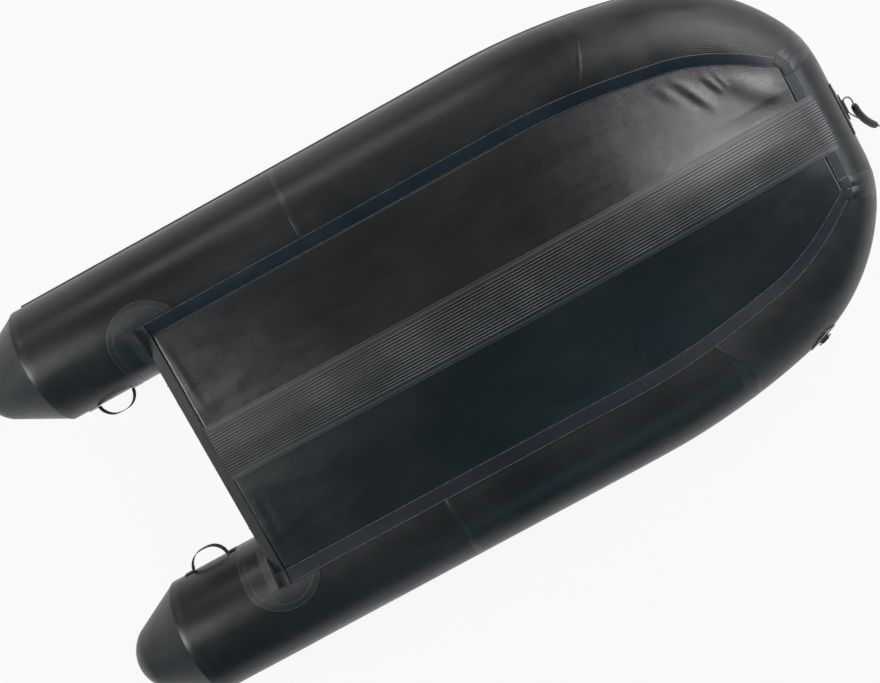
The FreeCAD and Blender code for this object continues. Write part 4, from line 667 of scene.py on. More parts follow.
def coneRadius(distance):                       # distance aft of the tail seam
    run, endRadius, dome = boat["coneRun"], boat["coneEndRadius"], boat["coneDome"]
    if distance < run:
        return tubeRadius + (endRadius - tubeRadius) * distance / run
    ball = (endRadius * endRadius + dome * dome) / (2 * dome)
    rest = distance - run - dome + ball
    return math.sqrt(max(ball * ball - rest * rest, 0))


def coneSkin(side, name):
    places = [share * boat["coneRun"] for share in shares(tubeShape["coneRows"])]
    places += [boat["coneRun"] + boat["coneDome"] * sine(90 * share)
               for share in shares(tubeShape["domeRows"])[1:]]
    places[-1] -= tubeShape["tipGap"]
    points, skin = [], []
    for distance in places:
        radius = coneRadius(distance)
        for turn in skinTurns:
            round_ = turn if turn < 180 else -180
            sink = (pucker(distance, round_, 2.4 + side)
                    + pucker(abs(distance - boat["coneRun"]), round_, 8 + side) * tubeShape["domePucker"]
                    + slack((distance, round_ * tubeShape["coneTurns"], side), side, tubeShape["coneSeed"]))
            reach = radius - min(sink, radius * 0.5)
            points.append(across(onTube(sideAt, -boat["tailSeam"] - distance, round_, reach), side))
            skin.append((distance, math.radians(turn) * tubeRadius, 0))
    faces = gridFaces(len(places), len(skinTurns), side < 0)
    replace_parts(meshPiece(name + "TailConeSkin", points, faces, "coneFabricPaintedHighlight", skin), name + "_tail_cone")


for side, name in sides:
    tubeSkin(name + "SideTubeSkin", name + "_side_tube", side, sideAt, lambda turn: -boat["tailSeam"],
             sideEnd, 300, tubeShape["sideSeed"])
    tubeSkin(name + "QuarterSkin", name + "_bow_quarter", side, quarterAt, lambda turn: -kinkCut(turn),
             quarterEnd, 210, tubeShape["quarterSeed"], "panelFabric")
    coneSkin(side, name)
tubeSkin("bowTubeSkin", "bow_tube", 1, frontAt, lambda turn: -frontEnd(turn), frontEnd, 90,
         tubeShape["frontSeed"])
print("tubes skinned")

# Tapes and laps: a profile swept round the tubes, over the slack of the skin

tape = {"rise": 0.0003, "lapRise": 0.0004, "mitreRise": 0.0008, "bevel": 0.0012, "sunk": 0.0022,
        "fade": 0.012, "lapFade": 0.010, "edge": 0.0002, "tapeWidth": 0.034, "tapeShift": 0.013,
        "mitreWidth": 0.045,
        "lapWidth": 0.024, "lapPlace": 0.262, "lapBow": 0.050, "lapLean": 0.055, "lapFrom": 24, "lapTo": -96,
        "lapSteps": 60, "sideLap": 0.650}


def tapeProfile(width, rise, fade=0):
    half, bevel = width / 2, tape["bevel"]
    top = [(-half + bevel, rise), (0, rise), (half - bevel - fade, rise)]
    edge = -tape["edge"] if fade else 0
    return [(-half, -tape["sunk"]), (-half, 0)] + top + [(half, edge), (half, -tape["sunk"])]


def sweep(heap, side, frameAt, placeAt, profile, seed, turns=skinTurns[:-1]):
    rows = []
    for turn in turns:
        row = []
        for shift, height in profile:
            run = placeAt(turn) + shift
            reach = tubeRadius + height - slack(onTube(frameAt, run, turn, tubeRadius), side, seed)
            row.append(across(onTube(frameAt, run, turn, reach), side))
        rows.append(row)
    if len(turns) == tubeShape["around"]:       # all the way round, so its ends meet
        heap.grid(rows + rows[:1], side > 0)
    else:
        heap.tube(rows, side > 0)


def lapAt(turn):
    share = (turn - tape["lapFrom"]) / (tape["lapTo"] - tape["lapFrom"])
    return tape["lapPlace"] + tape["lapBow"] * math.sin(math.pi * share) + tape["lapLean"] * share


def seamTapes():
    mitre = tapeProfile(tape["mitreWidth"], tape["mitreRise"])
    half = tape["mitreWidth"] / 2
    span = tape["lapTo"] - tape["lapFrom"]
    lapTurns = [tape["lapFrom"] + span * share for share in shares(tape["lapSteps"])]
    for side, name in sides:
        tapes, lap, front = Heap(), Heap(), Heap()
        sweep(tapes, side, sideAt, lambda turn: tape["tapeShift"] - boat["tailSeam"],
              tapeProfile(tape["tapeWidth"], tape["rise"], tape["fade"]), tubeShape["sideSeed"])
        sweep(tapes, side, sideAt, lambda turn: tape["sideLap"],
              tapeProfile(tape["lapWidth"], tape["lapRise"], tape["lapFade"]), tubeShape["sideSeed"])
        tapes.piece(name + "SeamTapes", "tapeFabric")
        sweep(lap, side, quarterAt, lapAt, tapeProfile(tape["lapWidth"], tape["lapRise"], tape["fade"]),
              tubeShape["quarterSeed"], lapTurns)
        sweep(lap, side, quarterAt, lambda turn: quarterEnd(turn) - half, mitre, tubeShape["quarterSeed"])
        lap.piece(name + "CornerLap", "tapeFabric")
        sweep(front, side, lambda run: frontAt(-run), lambda turn: frontEnd(turn) - half, mitre,
              tubeShape["frontSeed"])
        front.piece(name + "CornerTape", "tapeFabric")


seamTapes()

# Chine strips over the tubes, with a bead along each edge

chine = {"turn": 27, "lean": 4, "power": 5, "gapTurn": 0.3, "sideWide": 13.5, "frontWide": 10.5,
         "top": 0.0031, "under": 0.0004, "aft": 0.037, "beadWidth": 0.0026, "beadHigh": 0.0010,
         "beadSunk": 0.0006,
         "sideRows": 60, "bowRows": 150, "frontRows": 40}


def chineTurnAt(run):
    return chine["turn"] - clamped(run / mitreRun) ** chine["power"] * (chine["turn"] + chine["lean"])


def bowInner(run):
    return chineTurnAt(run) - chine["gapTurn"]


def stripTurnAt(run):
    return chine["sideWide"] - clamped(run / mitreRun) * (chine["sideWide"] - chine["frontWide"])


def bandRows(side, part, profile):
    frameAt, count, innerAt, wideAt, first, endAt = part
    rows = []
    for step in shares(count):
        row = []
        for share, shift, height in profile:    # share of the width, shift from there, height over the tube
            last = endAt(innerAt(math.inf) - share * wideAt(math.inf))
            run = first + step * (last - first)
            turn = innerAt(run) - share * wideAt(run) - math.degrees(shift / tubeRadius)
            row.append(across(onTube(frameAt, run, turn, tubeRadius + height), side))
        rows.append(row)
    return rows


def bandProfiles():
    top, wide, high = chine["top"], chine["beadWidth"], chine["beadHigh"]
    flat = [(0, 0, -chine["under"]), (0, 0, top), (0, wide, top)]
    flat += [(share, 0, top) for share in shares(5)[1:-1]]
    flat += [(1, -wide, top), (1, 0, top), (1, 0, -chine["under"])]
    low = top - chine["beadSunk"]
    inner = [(0, 0, low), (0, 0, top + high * 0.5), (0, wide * 0.25, top + high),
             (0, wide * 0.75, top + high), (0, wide, top + high * 0.5), (0, wide, low)]
    outer = [(1, -shift, height) for share, shift, height in inner[::-1]]
    return flat, inner, outer


def chineStrips():
    flat, *beads = bandProfiles()
    along = (sideAt, chine["sideRows"], lambda run: chine["turn"] - chine["gapTurn"],
             lambda run: chine["sideWide"], chine["aft"], sideEnd)
    bow = (quarterAt, chine["bowRows"], bowInner, stripTurnAt, -kinkCut(chine["turn"]), quarterEnd)
    front = (frontAt, chine["frontRows"], lambda run: -chine["lean"] - chine["gapTurn"],
             lambda run: chine["frontWide"], -mitrePoint.y, frontEnd)
    for side, name, beadName, parts in ((1, "starboard", "starboardChineBeads", (along, bow)),
                                        (-1, "port", "portChineBeads", (along, bow)),
                                        (1, "bow", "frontBeads", (front,))):
        band, edges = Heap(), Heap()
        for part in parts:
            band.tube(bandRows(side, part, flat), side > 0)
            for profile in beads:
                edges.tube(bandRows(side, part, profile), side > 0)
        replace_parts(band.piece(name + "ChineBand", "stripFabric"), name + "_chine_strip")
        # the beads are in the light bead fabric: painted highlight lines along both edges of the strip
        edges.piece(beadName, "highlightBeadFabric")


chineStrips()
print("seams and beads laid")

# Bottom cloth: stretched between the tubes over the air keel

cloth = {
    "gap": 0.0008, "thick": 0.0022, "aft": 0.036, "keelDepth": 0.095, "keelAftRise": 0.010, "keelPower": 1.25,
    "keelRound": 0.300, "sideRows": 130, "bowRows": 120, "columns": 170, "leanReach": 0.25, "bendReach": 0.22,
    "seat": 0.0025, "strakeGap": 0.004, "edgeFade": 0.05, "bowFade": 0.06, "rippleHigh": 0.0011,
    "underStrake": 0.0010, "hollow": 0.45,
    "folds": (                                  # from, to, half width, height, on the hull's X and Y
        ((1.974, 0.362), (2.040, 0.238), 0.017, 0.0024), ((2.068, 0.328), (2.098, 0.262), 0.012, 0.0015),
        ((2.120, 0.290), (2.262, 0.150), 0.034, 0.0022),
        ((2.106, 0.318), (2.120, 0.262), 0.008, 0.0010), ((1.905, 0.372), (1.955, 0.300), 0.017, 0.0009),
        ((2.020, -0.345), (2.075, -0.255), 0.014, 0.0016), ((2.110, -0.300), (2.140, -0.240), 0.010, 0.0012),
        ((0.052, 0.420), (0.064, 0.200), 0.012, 0.0030), ((0.060, 0.350), (0.340, 0.300), 0.022, 0.0010),
        ((0.052, -0.420), (0.064, -0.200), 0.012, 0.0026), ((0.060, -0.340), (0.330, -0.290), 0.022, 0.0010),
        ((0.060, 0.160), (0.420, 0.240), 0.030, 0.0014), ((0.060, -0.160), (0.420, -0.240), 0.030, 0.0012),
        ((0.300, 0.180), (0.980, 0.330), 0.060, 0.0016), ((0.340, -0.180), (1.020, -0.330), 0.060, 0.0014),
        ((1.050, 0.190), (1.650, 0.360), 0.070, 0.0018), ((1.100, -0.180), (1.700, -0.340), 0.070, 0.0014)),
    "pocket": ((2.170, 0.190), 0.090, 0.0030)}  # where the cloth bellies near the starboard corner

frontRadius = tubeRadius + cloth["gap"]
keelAft = frontRadius * cosine(chine["turn"]) + cloth["keelAftRise"]
frontPlace = mitrePoint.x + frontRadius * sine(chine["lean"])
frontHigh = frontRadius * cosine(chine["lean"])
bottomRun = boat["kinkPlace"] + frontPlace


def keelHigh(distance):
    share = min(distance / bottomRun, 1)
    base = keelAft + share * (frontHigh - keelAft)
    return base + cloth["keelDepth"] * math.sin(math.pi * share ** cloth["keelPower"])


def clothStations():                            # frame of each section, its place, its edge's Y and Z
    found = []
    for index in range(cloth["sideRows"]):
        x = cloth["aft"] + index / cloth["sideRows"] * (boat["kinkPlace"] - cloth["aft"])
        lean = max(1 - (boat["kinkPlace"] - x) / cloth["leanReach"], 0) * kinkHalf
        found.append((turnedFrame(hullFrame, (x, 0, 0), lean, "Y"), x,
                      tubeSide - frontRadius * sine(chine["turn"]), frontRadius * cosine(chine["turn"])))
    for share in shares(cloth["bowRows"]):
        run = share * mitreRun
        turn = chineTurnAt(run)
        edge = bowStation(run) @ Vector((0, -frontRadius * sine(turn), frontRadius * cosine(turn)))
        if share == 1:
            y = mitrePoint.y + (frontPlace - mitrePoint.x) * tangent(mitreHalf)
            edge = Vector((frontPlace, y, frontHigh))
        lean = -max(1 - edge.x / cloth["leanReach"], 0) * kinkHalf
        place = turnedFrame(bowFrame, (edge.x, 0, 0), lean, "Y")
        found.append((place, boat["kinkPlace"] + edge.x, edge.y, edge.z))
    return found


def sectionSlope(wide, edgeHigh, top):
    radius = cloth["keelRound"]
    below = edgeHigh - (top - radius)
    return math.pi / 2 - math.atan2(below, wide) - math.acos(min(radius / math.hypot(wide, below), 1))


def sectionHalf(wide, edgeHigh, top):           # half of the section's length
    radius = cloth["keelRound"]
    slope = sectionSlope(wide, edgeHigh, top)
    return radius * slope + (wide - radius * math.sin(slope)) / math.cos(slope)


def sectionPoint(away, wide, edgeHigh, top, lift):
    radius = cloth["keelRound"]
    slope = sectionSlope(wide, edgeHigh, top)
    turn = min(abs(away) / radius, slope)
    rest = max(abs(away) - radius * slope, 0)
    side = math.copysign(1, away)
    y = side * (radius * math.sin(turn) + rest * math.cos(slope))
    z = top - radius + radius * math.cos(turn) - rest * math.sin(slope)
    return Vector((0, y + lift * side * math.sin(turn), z + lift * math.cos(turn)))


def foldLift(x, y):
    lift = 0
    for (ax, ay), (bx, by), width, height in cloth["folds"]:
        dx, dy = bx - ax, by - ay
        length = math.hypot(dx, dy)
        share = ((x - ax) * dx + (y - ay) * dy) / length ** 2
        away = ((x - ax) * dy - (y - ay) * dx) / length
        if abs(away) > 4 * width or not -0.25 < share < 1.25:
            continue
        crest = math.exp(-(away / width) ** 2) - cloth["hollow"] * math.exp(-(away / width - 1.7) ** 2)
        lift += height * math.sin(math.pi * (share + 0.25) / 1.5) * crest
    (px, py), size, depth = cloth["pocket"]
    return lift + depth * math.exp(-((x - px) ** 2 + ((y - py) * 1.3) ** 2) / size ** 2)


def clothBend(point, inside):                   # the bend grows gentler away from the tubes
    share = smooth(inside / cloth["bendReach"])
    return roundKink(point, boat["tubeBend"]).lerp(roundKink(point, boat["clothBend"]), share)


def bottomSheet():
    stations = clothStations()
    points = []
    for place, distance, wide, edgeHigh in stations:
        top = keelHigh(distance)
        endFade = min((distance - cloth["aft"]) / cloth["edgeFade"],
                      (bottomRun - distance) / cloth["bowFade"], 1)
        half = sectionHalf(wide, edgeHigh, top)
        for share in shares(cloth["columns"]):
            away = (2 * share - 1) * half
            y = sectionPoint(away, wide, edgeHigh, top, 0).y
            clear = clamped((abs(y) - strake["half"] - cloth["strakeGap"]) / cloth["edgeFade"])
            inside = half - abs(away)
            ripple = noise.noise(Vector((distance * 3.1, y * 5.3, 1.7))) * cloth["rippleHigh"]
            fade = clear * min(inside / cloth["edgeFade"], 1) * max(endFade, 0)
            lift = cloth["seat"] - cloth["underStrake"] * (1 - clear)
            lift += (foldLift(distance, y) + ripple) * fade
            points.append(clothBend(place @ sectionPoint(away, wide, edgeHigh, top, lift), inside))
    faces = gridFaces(len(stations), cloth["columns"] + 1)
    piece = meshPiece("bottomSheet", points, faces, "bottomFabric", None)
    thicken = piece.modifiers.new("thicken", "SOLIDIFY")
    thicken.thickness = cloth["thick"]
    thicken.offset = -1
    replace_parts(piece, "bottom_cloth")
    area = sum(face.area for face in piece.data.polygons)
    return piece, area, max(2 * station[2] for station in stations)


# Keel strake: a ribbed section over the cloth and round the front tube

strakeEdge = ((0, -0.0006), (0, 0.0015), (0.0008, 0.003), (0.0100, 0.003), (0.0104, 0.0036), (0.0148, 0.0036),
              (0.0152, 0.003))                  # inward from the edge, and over the seat
strakeEnd = {"rows": 24, "from": 0.93, "sink": 0.6, "over": 0.0003}


def ribbedProfile():
    half, base = strake["half"], strake["base"]
    crest = base + strake["ribHeight"]
    ribbed = half - strake["margin"]
    foot, top, bevel = strake["ribFoot"] / 2, strake["ribCrest"] / 2, strake["ribRound"]
    profile = [(inward - half, high) for inward, high in strakeEdge]
    for index in range(strake["ribs"]):
        middle = (2 * index + 1) * ribbed / strake["ribs"] - ribbed
        profile += [(middle - foot, base), (middle - top, crest - bevel), (middle - top + bevel, crest),
                    (middle + top - bevel, crest), (middle + top, crest - bevel), (middle + foot, base)]
    return profile + [(half - inward, high) for inward, high in strakeEdge[::-1]]


def strakeStrip():
    seat = cloth["seat"] + strakeEnd["over"]
    profile = ribbedProfile()
    rows, skin = [], []
    for place, distance, wide, edgeHigh in clothStations():
        top = keelHigh(distance)
        half = sectionHalf(wide, edgeHigh, top)
        rows.append([clothBend(place @ sectionPoint(away, wide, edgeHigh, top, seat + high), half - abs(away))
                     for away, high in profile])
        skin.extend([(distance, away, 0) for away, high in profile])
    for share in shares(strakeEnd["rows"])[1:]:
        turn = share * (strake["endTurn"] - chine["lean"])
        place = turnedFrame(bowFrame, (mitrePoint.x, 0, 0), chine["lean"] + turn, "Y")
        sink = strakeEnd["sink"] * max(share - strakeEnd["from"], 0) / (1 - strakeEnd["from"])
        rows.append([place @ Vector((0, away, frontRadius + seat + high * (1 - sink)))
                     for away, high in profile])
        skin.extend([(bottomRun + math.radians(turn) * frontRadius, away, 0) for away, high in profile])
    heap = Heap()
    heap.tube(rows, True, skin)
    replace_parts(heap.piece("keelStrakeStrip", "strakeRubber"), "keel_strake")


sheetPiece, sheetArea, sheetWidth = bottomSheet()
strakeStrip()
print("bottom cloth area", round(sheetArea, 3), "width", round(sheetWidth, 3))

# Camera, from the fitted view

view = {"place": (1.099, 0.329, 4.569), "turn": (0.091, 0.028, -0.501), "focalPixels": 1298.0,
        "imageWidth": 880, "sensor": 36.0}


def camera():
    turn = Vector(view["turn"])
    flip = Matrix.Diagonal((1, -1, -1))
    facing = (Matrix.Rotation(turn.length, 3, turn) @ flip).transposed() @ flip
    data = bpy.data.cameras.new("camera")
    data.sensor_width = view["sensor"]
    data.lens = view["focalPixels"] / view["imageWidth"] * view["sensor"]
    thing = addObject("camera", data)
    thing.matrix_world = hullFrame @ Matrix.Translation(view["place"]) @ facing.to_4x4()
    bpy.context.scene.camera = thing


# Floor, world and lamps

room = {"floorHalf": 30, "floorColour": (0.34, 0.34, 0.34), "white": (1, 1, 1), "whiteShare": 0.92,
        "sky": ((0.0, (0.17, 0.173, 0.176)), (0.22, (0.17, 0.173, 0.176)), (0.5, (0.130, 0.134, 0.138)),
                (1.0, (0.115, 0.120, 0.125))),  # from the horizon up
        "portShade": (0.42, 1.32, 1.72), "starboardShade": (1.24, 1.15, 1.10),
        "lamps": (                              # place over the hull, size, power, colour, aimed at
            ("sternBox", (-2.5, 0.5, 3.0), (1.7, 2.1), 122, (1.0, 1.0, 0.99), (0.2, 0.0, 0.2)),
            ("bowBox", (5.1, 1.2, 3.4), (1.9, 1.8), 135, (1.0, 0.98, 0.975), (2.1, 0.3, 0.2)),
            ("bowStrip", (4.9, 2.7, 1.5), (2.2, 1.0), 50, (1.0, 0.985, 0.98), (2.1, 0.3, 0.1)),
            ("bowGlow", (3.9, 2.3, 2.7), (0.6, 0.6), 20, (0.86, 0.92, 1.0), (2.2, 0.2, 0.2)),
            ("bowFront", (5.3, -0.1, 1.6), (2.0, 0.9), 46, (0.88, 0.94, 1.0), (2.3, 0.0, 0.1)),
            ("starboardStrip", (0.4, 3.8, 2.0), (3.4, 0.7), 42, (1.0, 0.975, 0.95), (0.4, 0.5, 0.1)),
            ("portStrip", (1.8, -3.8, 2.6), (3.4, 0.9), 13, (0.50, 0.85, 1.0), (1.4, -0.4, 0.1)))}


def floor():
    half = room["floorHalf"]
    mesh = bpy.data.meshes.new("floor")
    corners = [(-half, -half, 0), (half, -half, 0), (half, half, 0), (-half, half, 0)]
    mesh.from_pydata(corners, [], [(0, 1, 2, 3)])
    made = bpy.data.materials.new("floorPaint")
    look = Look(made)
    seen = look.node("LightPath", "Is Camera Ray").most(look.node("LightPath", "Is Glossy Ray"))
    seen = seen.most(look.node("LightPath", "Is Transmission Ray"))
    matt = look.node("BsdfDiffuse", "BSDF", None, {"Color": room["floorColour"]})
    white = look.node("Emission", "Emission", None, {"Color": room["white"], "Strength": 1.0})
    both = look.node("MixShader", "Shader", None, {0: seen * room["whiteShare"], 1: matt, 2: white})
    look.node("OutputMaterial", None, None, {"Surface": both})
    mesh.materials.append(made)
    addObject("floor", mesh)


def world():
    made = bpy.data.worlds.new("studio")
    look = Look(made)
    facing = look.node("TexCoord", "Generated")
    colour = look.node("ValToRGB", "Color", {"stops": room["sky"]}, {"Fac": look.part(facing, "Z")})
    tint = look.blend(look.part(facing, "Y").ease(-0.5, 0.5), room["portShade"], room["starboardShade"])
    colour = look.node("Mix", 2, {"data_type": "RGBA", "blend_type": "MULTIPLY"},
                       {0: 1.0, 6: colour, 7: tint})
    sky = look.node("Background", "Background", None, {"Color": colour, "Strength": 1.0})
    look.node("OutputWorld", None, None, {"Surface": sky})
    bpy.context.scene.world = made


def lamps():
    for name, place, size, power, colour, target in room["lamps"]:
        data = bpy.data.lights.new(name, "AREA")
        data.shape = "RECTANGLE"
        data.size, data.size_y = size
        data.energy = power
        data.color = colour
        lamp = addObject(name, data)
        start, aim = hullFrame @ Vector(place), hullFrame @ Vector(target)
        lamp.location = start
        lamp.rotation_euler = (aim - start).to_track_quat("-Z", "Y").to_euler()


camera()
floor()
world()
lamps()
bpy.context.scene.view_settings.view_transform = "Standard"
print("camera, floor and lamps set")

# Bow handle: rope, grip and whipping

handle = {
    "ropeRadius": 0.003, "gripRadius": 0.013, "gripFrom": 6, "gripTo": 12, "gripSides": 28,
    "endSize": 0.74, "endRun": 0.012, "grooves": 0.0007, "groovePitch": 0.016, "plainEnd": 0.02,
    "swell": 0.0006,
    "ringTurn": 72, "barHigh": 0.2266, "past": 0.0533,      # bar over the tube's centre, rope past the bar
    "route": ((0, 0, 0), (-11, -1, 3), (-21, -1, 11), (-25, 1, 23), (-20, 3, 34), (-8, 6, 40), (7, 11, 41),
              (23, 21, 43), (43, 37, 49), (65, 57, 60), (86, 80, 74), (105, 104, 91), (121, 128, 109),
              (132, 149, 125), (139, 167, 138), (140, 182, 143), (135, 197, 142), (125, 209, 135),
              (110, 216, 122), (93, 218, 108), (75, 215, 94), (58, 206, 80), (44, 191, 68), (32, 171, 56),
              (23, 147, 46), (16, 121, 37), (11, 94, 28), (8, 68, 20), (6, 43, 12), (5, 19, 5),
              (4.2, 0.3, 0.4)),
    "millimetre": 0.001}                        # the route is to port, down and ahead of the ring
whip = {"turns": 6, "cord": 0.0011, "wide": 0.0060, "high": 0.0085, "place": (-0.0005, 0.0, 0.0035),
        "steps": 20, "sides": 8}                # thin cord that binds the rope's ends to the ring


def ropePoints():
    ring = turnedFrame(frontAt(0), (0, 0, 0), -handle["ringTurn"], "X")
    start = ring @ Vector((0, handle["past"], handle["barHigh"]))
    return [start + hullTurn @ (Vector((ahead, -port, -drop)) * handle["millimetre"])
            for port, drop, ahead in handle["route"]]


def ropeCurve(name, points, radius):
    data = bpy.data.curves.new(name, "CURVE")
    data.dimensions = "3D"
    spline = data.splines.new("NURBS")
    spline.points.add(len(points) - 1)
    for slot, point in zip(spline.points, points):
        slot.co = (*point, 1)
    spline.order_u = 3
    spline.use_endpoint_u = True
    spline.resolution_u = 10
    data.bevel_depth = radius
    data.bevel_resolution = 5
    data.use_fill_caps = True
    return addObject(name, data)


def linePoints(points):                         # points read from the rope's own spline
    bare = ropeCurve("bareLine", points, 0)
    bpy.context.view_layer.update()
    mesh = bpy.data.meshes.new_from_object(bare.evaluated_get(bpy.context.evaluated_depsgraph_get()))
    found = [bare.matrix_world @ vertex.co for vertex in mesh.vertices]
    bpy.data.objects.remove(bare)
    return found


def lineLength(points):
    return sum((after - before).length for before, after in zip(points, points[1:]))


def gripSleeve(points, line):
    def nearest(index):
        target = (points[index] + points[index + 1]) / 2
        return min(range(len(line)), key=lambda place: (line[place] - target).length)
    along = line[nearest(handle["gripFrom"]):nearest(handle["gripTo"]) + 1]
    rows, travelled, right = [], 0, None
    total = lineLength(along)
    for index, point in enumerate(along):
        if index:
            travelled += (point - along[index - 1]).length
        way = wayAt(along, index)
        right = (right - way * right.dot(way)).normalized() if right else way.orthogonal().normalized()
        end = min(travelled, total - travelled)
        size = handle["endSize"] + (1 - handle["endSize"]) * min(end / handle["endRun"], 1) ** 0.5
        radius = handle["gripRadius"] * size
        if end > handle["plainEnd"]:
            radius += handle["grooves"] * max(0, math.sin(travelled * 2 * math.pi / handle["groovePitch"]))
        radius = min(radius, handle["gripRadius"] + handle["swell"])
        rows.append(ringRound(point, right, way.cross(right), radius, handle["gripSides"]))
    heap = Heap()
    heap.tube(rows)
    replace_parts(heap.piece("bowHandleGripSleeve", "gripRubber", "bow_ring"), "bow_handle_grip")


def whipping(start):
    middle = start + hullTurn @ Vector(whip["place"])
    axis = (hullTurn @ Vector((0, 1, 0))).normalized()
    upward = (hullTurn @ Vector((0, 0, 1))).normalized()
    ahead = axis.cross(upward)
    rows = []
    for share in shares(whip["turns"] * whip["steps"]):
        angle = 360 * share * whip["turns"]
        reach = ahead * (whip["wide"] * cosine(angle)) + upward * (whip["high"] * sine(angle))
        centre = middle + axis * ((share - 0.5) * whip["turns"] * whip["cord"] * 2) + reach
        rows.append(ringRound(centre, reach.normalized(), axis, whip["cord"], whip["sides"]))
    heap = Heap()
    heap.tube(rows)
    heap.piece("bowHandleWhipping", "braidedRope", "bow_ring")


def bowHandle():
    points = ropePoints()
    rope = ropeCurve("bowHandleRopeLine", points, handle["ropeRadius"])
    rope.data.materials.append(materials["braidedRope"])
    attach(rope, "bow_ring")
    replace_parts(rope, "bow_handle_rope")
    line = linePoints(points)
    length = lineLength(line)
    gripSleeve(points, line)
    whipping(points[0])
    return length


print("bow handle rope", round(bowHandle(), 4))

# Webbing: tail handles and ring straps

webbing = {"thick": 0.0024, "section": (-0.5, -0.485, -0.25, 0, 0.25, 0.485, 0.5), "edge": 0.35,
           "wide": 0.038, "gap": 0.003, "span": 0.069, "tab": 0.036, "stand": 0.054, "patchEnd": 0.123,
           "lie": 0.0018, "square": 2.6, "round": 0.62, "lean": 0.02, "steps": 48, "tabSteps": 8,
           "stitch": 0.0034, "pitch": 0.0051, "thread": 0.0005, "margin": 0.004}


def strap(name, node, points, acrossWay, wide, side):
    rows, skin, travelled = [], [], 0
    thick, section = webbing["thick"] / 2, webbing["section"]
    for index, point in enumerate(points):
        if index:
            travelled += (point - points[index - 1]).length
        outWay = acrossWay.cross(wayAt(points, index)).normalized()
        row = []
        for face in (1, -1):
            for step in section[::face]:
                edge = webbing["edge"] if abs(step) == section[-1] else 1
                row.append(across(point + acrossWay * (step * wide) + outWay * (face * thick * edge), side))
                skin.append((travelled, step * wide, 0))
        rows.append(row)
    heap = Heap()
    heap.tube(rows, side < 0, skin)
    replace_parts(heap.piece(name, "wovenWebbing"), node)


def stitches(heap, points, out, side):          # short thread bars along a line
    for start, end in zip(points, points[1:]):
        way = (end - start).normalized()
        flatWay = way.cross(out).normalized()
        for index in range(int((end - start).length / webbing["pitch"])):
            middle = start + way * ((index + 0.5) * webbing["pitch"]) + out * (webbing["thread"] * 0.4)
            bar = []
            for share, size in ((-0.5, 0.3), (-0.3, 1), (0.3, 1), (0.5, 0.3)):
                ring = ringRound(middle + way * (share * webbing["stitch"]), flatWay, out,
                                 webbing["thread"] * size, 5)
                bar.append([across(point, side) for point in ring])
            heap.tube(bar, side < 0)


def tabStitches(heap, middle, alongWay, acrossWay, out, length, wide, side):
    a, b = length / 2 - webbing["margin"], wide / 2 - webbing["margin"]
    corners = [middle + alongWay * x + acrossWay * y
               for x, y in ((-a, -b), (a, -b), (a, b), (-a, b), (-a, -b))]
    for line in (corners, corners[0:3:2], corners[1:4:2]):
        stitches(heap, line, out, side)


def tailHandles():
    span, tab, ends = webbing["span"], webbing["tab"], webbing["tabSteps"]
    middle = webbing["patchEnd"] + webbing["gap"] + tab + span
    wall = tubeSide - tubeRadius - webbing["lie"]
    up, out, ahead = (hullTurn @ Vector(way) for way in ((0, 0, 1), (0, -1, 0), (1, 0, 0)))
    places = [(-span - tab * (1 - share), 0.0) for share in shares(ends)[:-1]]
    for step in shares(webbing["steps"]):
        share = 2 * step - 1
        rise = webbing["stand"] * (1 - abs(share) ** webbing["square"]) ** webbing["round"]
        places.append((share * span * (1 + webbing["lean"] * math.sin(math.pi * share)), rise))
    places += [(span + tab * share, 0.0) for share in shares(ends)[1:]]
    points = [hullFrame @ Vector((x - middle, wall - rise, 0)) for x, rise in places]
    for side, name in sides:
        strap(name + "TailHandleWebbing", name + "_tail_handle", points, up, webbing["wide"], side)
        sewn = Heap()
        for way in (-1, 1):
            centre = hullFrame @ Vector((way * (span + tab / 2) - middle, wall, 0))
            centre += out * (webbing["thick"] / 2)
            tabStitches(sewn, centre, ahead, up, out, tab, webbing["wide"], side)
        sewn.piece(name + "TailHandleStitches", "stitchThread")


rings = {"place": 0.11, "share": 0.62, "play": 0.00028, "wall": 0.0025, "tab": 0.024, "patch": 0.0025,
         "glue": 0.0003, "tabGap": 0.003, "foot": ((0.0012, 0.0006), (0.0002, 0.0020))}


def ringStraps():
    towStation = quarterAt(easyRun + rings["place"] * (bendRun - easyRun))
    for word, node, station, side, wire, half in (
            ("bowRingStrap", "bow_ring_strap", frontAt(0), 1, 0.004, 0.046),
            ("starboardRingStrap", "starboard_ring_strap", towStation, 1, 0.003, 0.027),
            ("portRingStrap", "port_ring_strap", towStation, -1, 0.003, 0.027)):
        turned = turnedFrame(station, (0, 0, 0), -handle["ringTurn"], "X")
        thick = webbing["thick"] / 2
        low = tubeRadius + rings["patch"] + 2 * rings["glue"]
        bar = low + rings["wall"] + wire
        loop = wire + rings["play"] + thick
        flat = low + thick
        near = [(loop + rings["tabGap"] + rings["tab"] * (1 - share), flat) for share in shares(6)]
        near += [(loop + shift, flat + rise) for shift, rise in rings["foot"]]
        places = [(-y, z) for y, z in near]
        places += [(-loop * cosine(angle), bar + loop * sine(angle)) for angle in range(0, 181, 15)]
        places += near[::-1]
        wide = 2 * (half - wire) * rings["share"]
        acrossWay, alongWay, out = ((turned.to_3x3() @ Vector(way)).normalized()
                                    for way in ((1, 0, 0), (0, 1, 0), (0, 0, 1)))
        points = [turned @ Vector((0, y, z - y * y / (2 * bar))) for y, z in places]
        strap(word + "Webbing", node, points, acrossWay, wide, side)
        sewn = Heap()
        for way in (-1, 1):
            y = way * (loop + rings["tabGap"] + rings["tab"] / 2)
            centre = turned @ Vector((0, y, flat + thick - y * y / (2 * bar)))
            tabStitches(sewn, centre, alongWay, acrossWay, out, rings["tab"], wide, side)
        sewn.piece(word + "Stitches", "stitchThread")


tailHandles()
ringStraps()
print("webbing sewn")

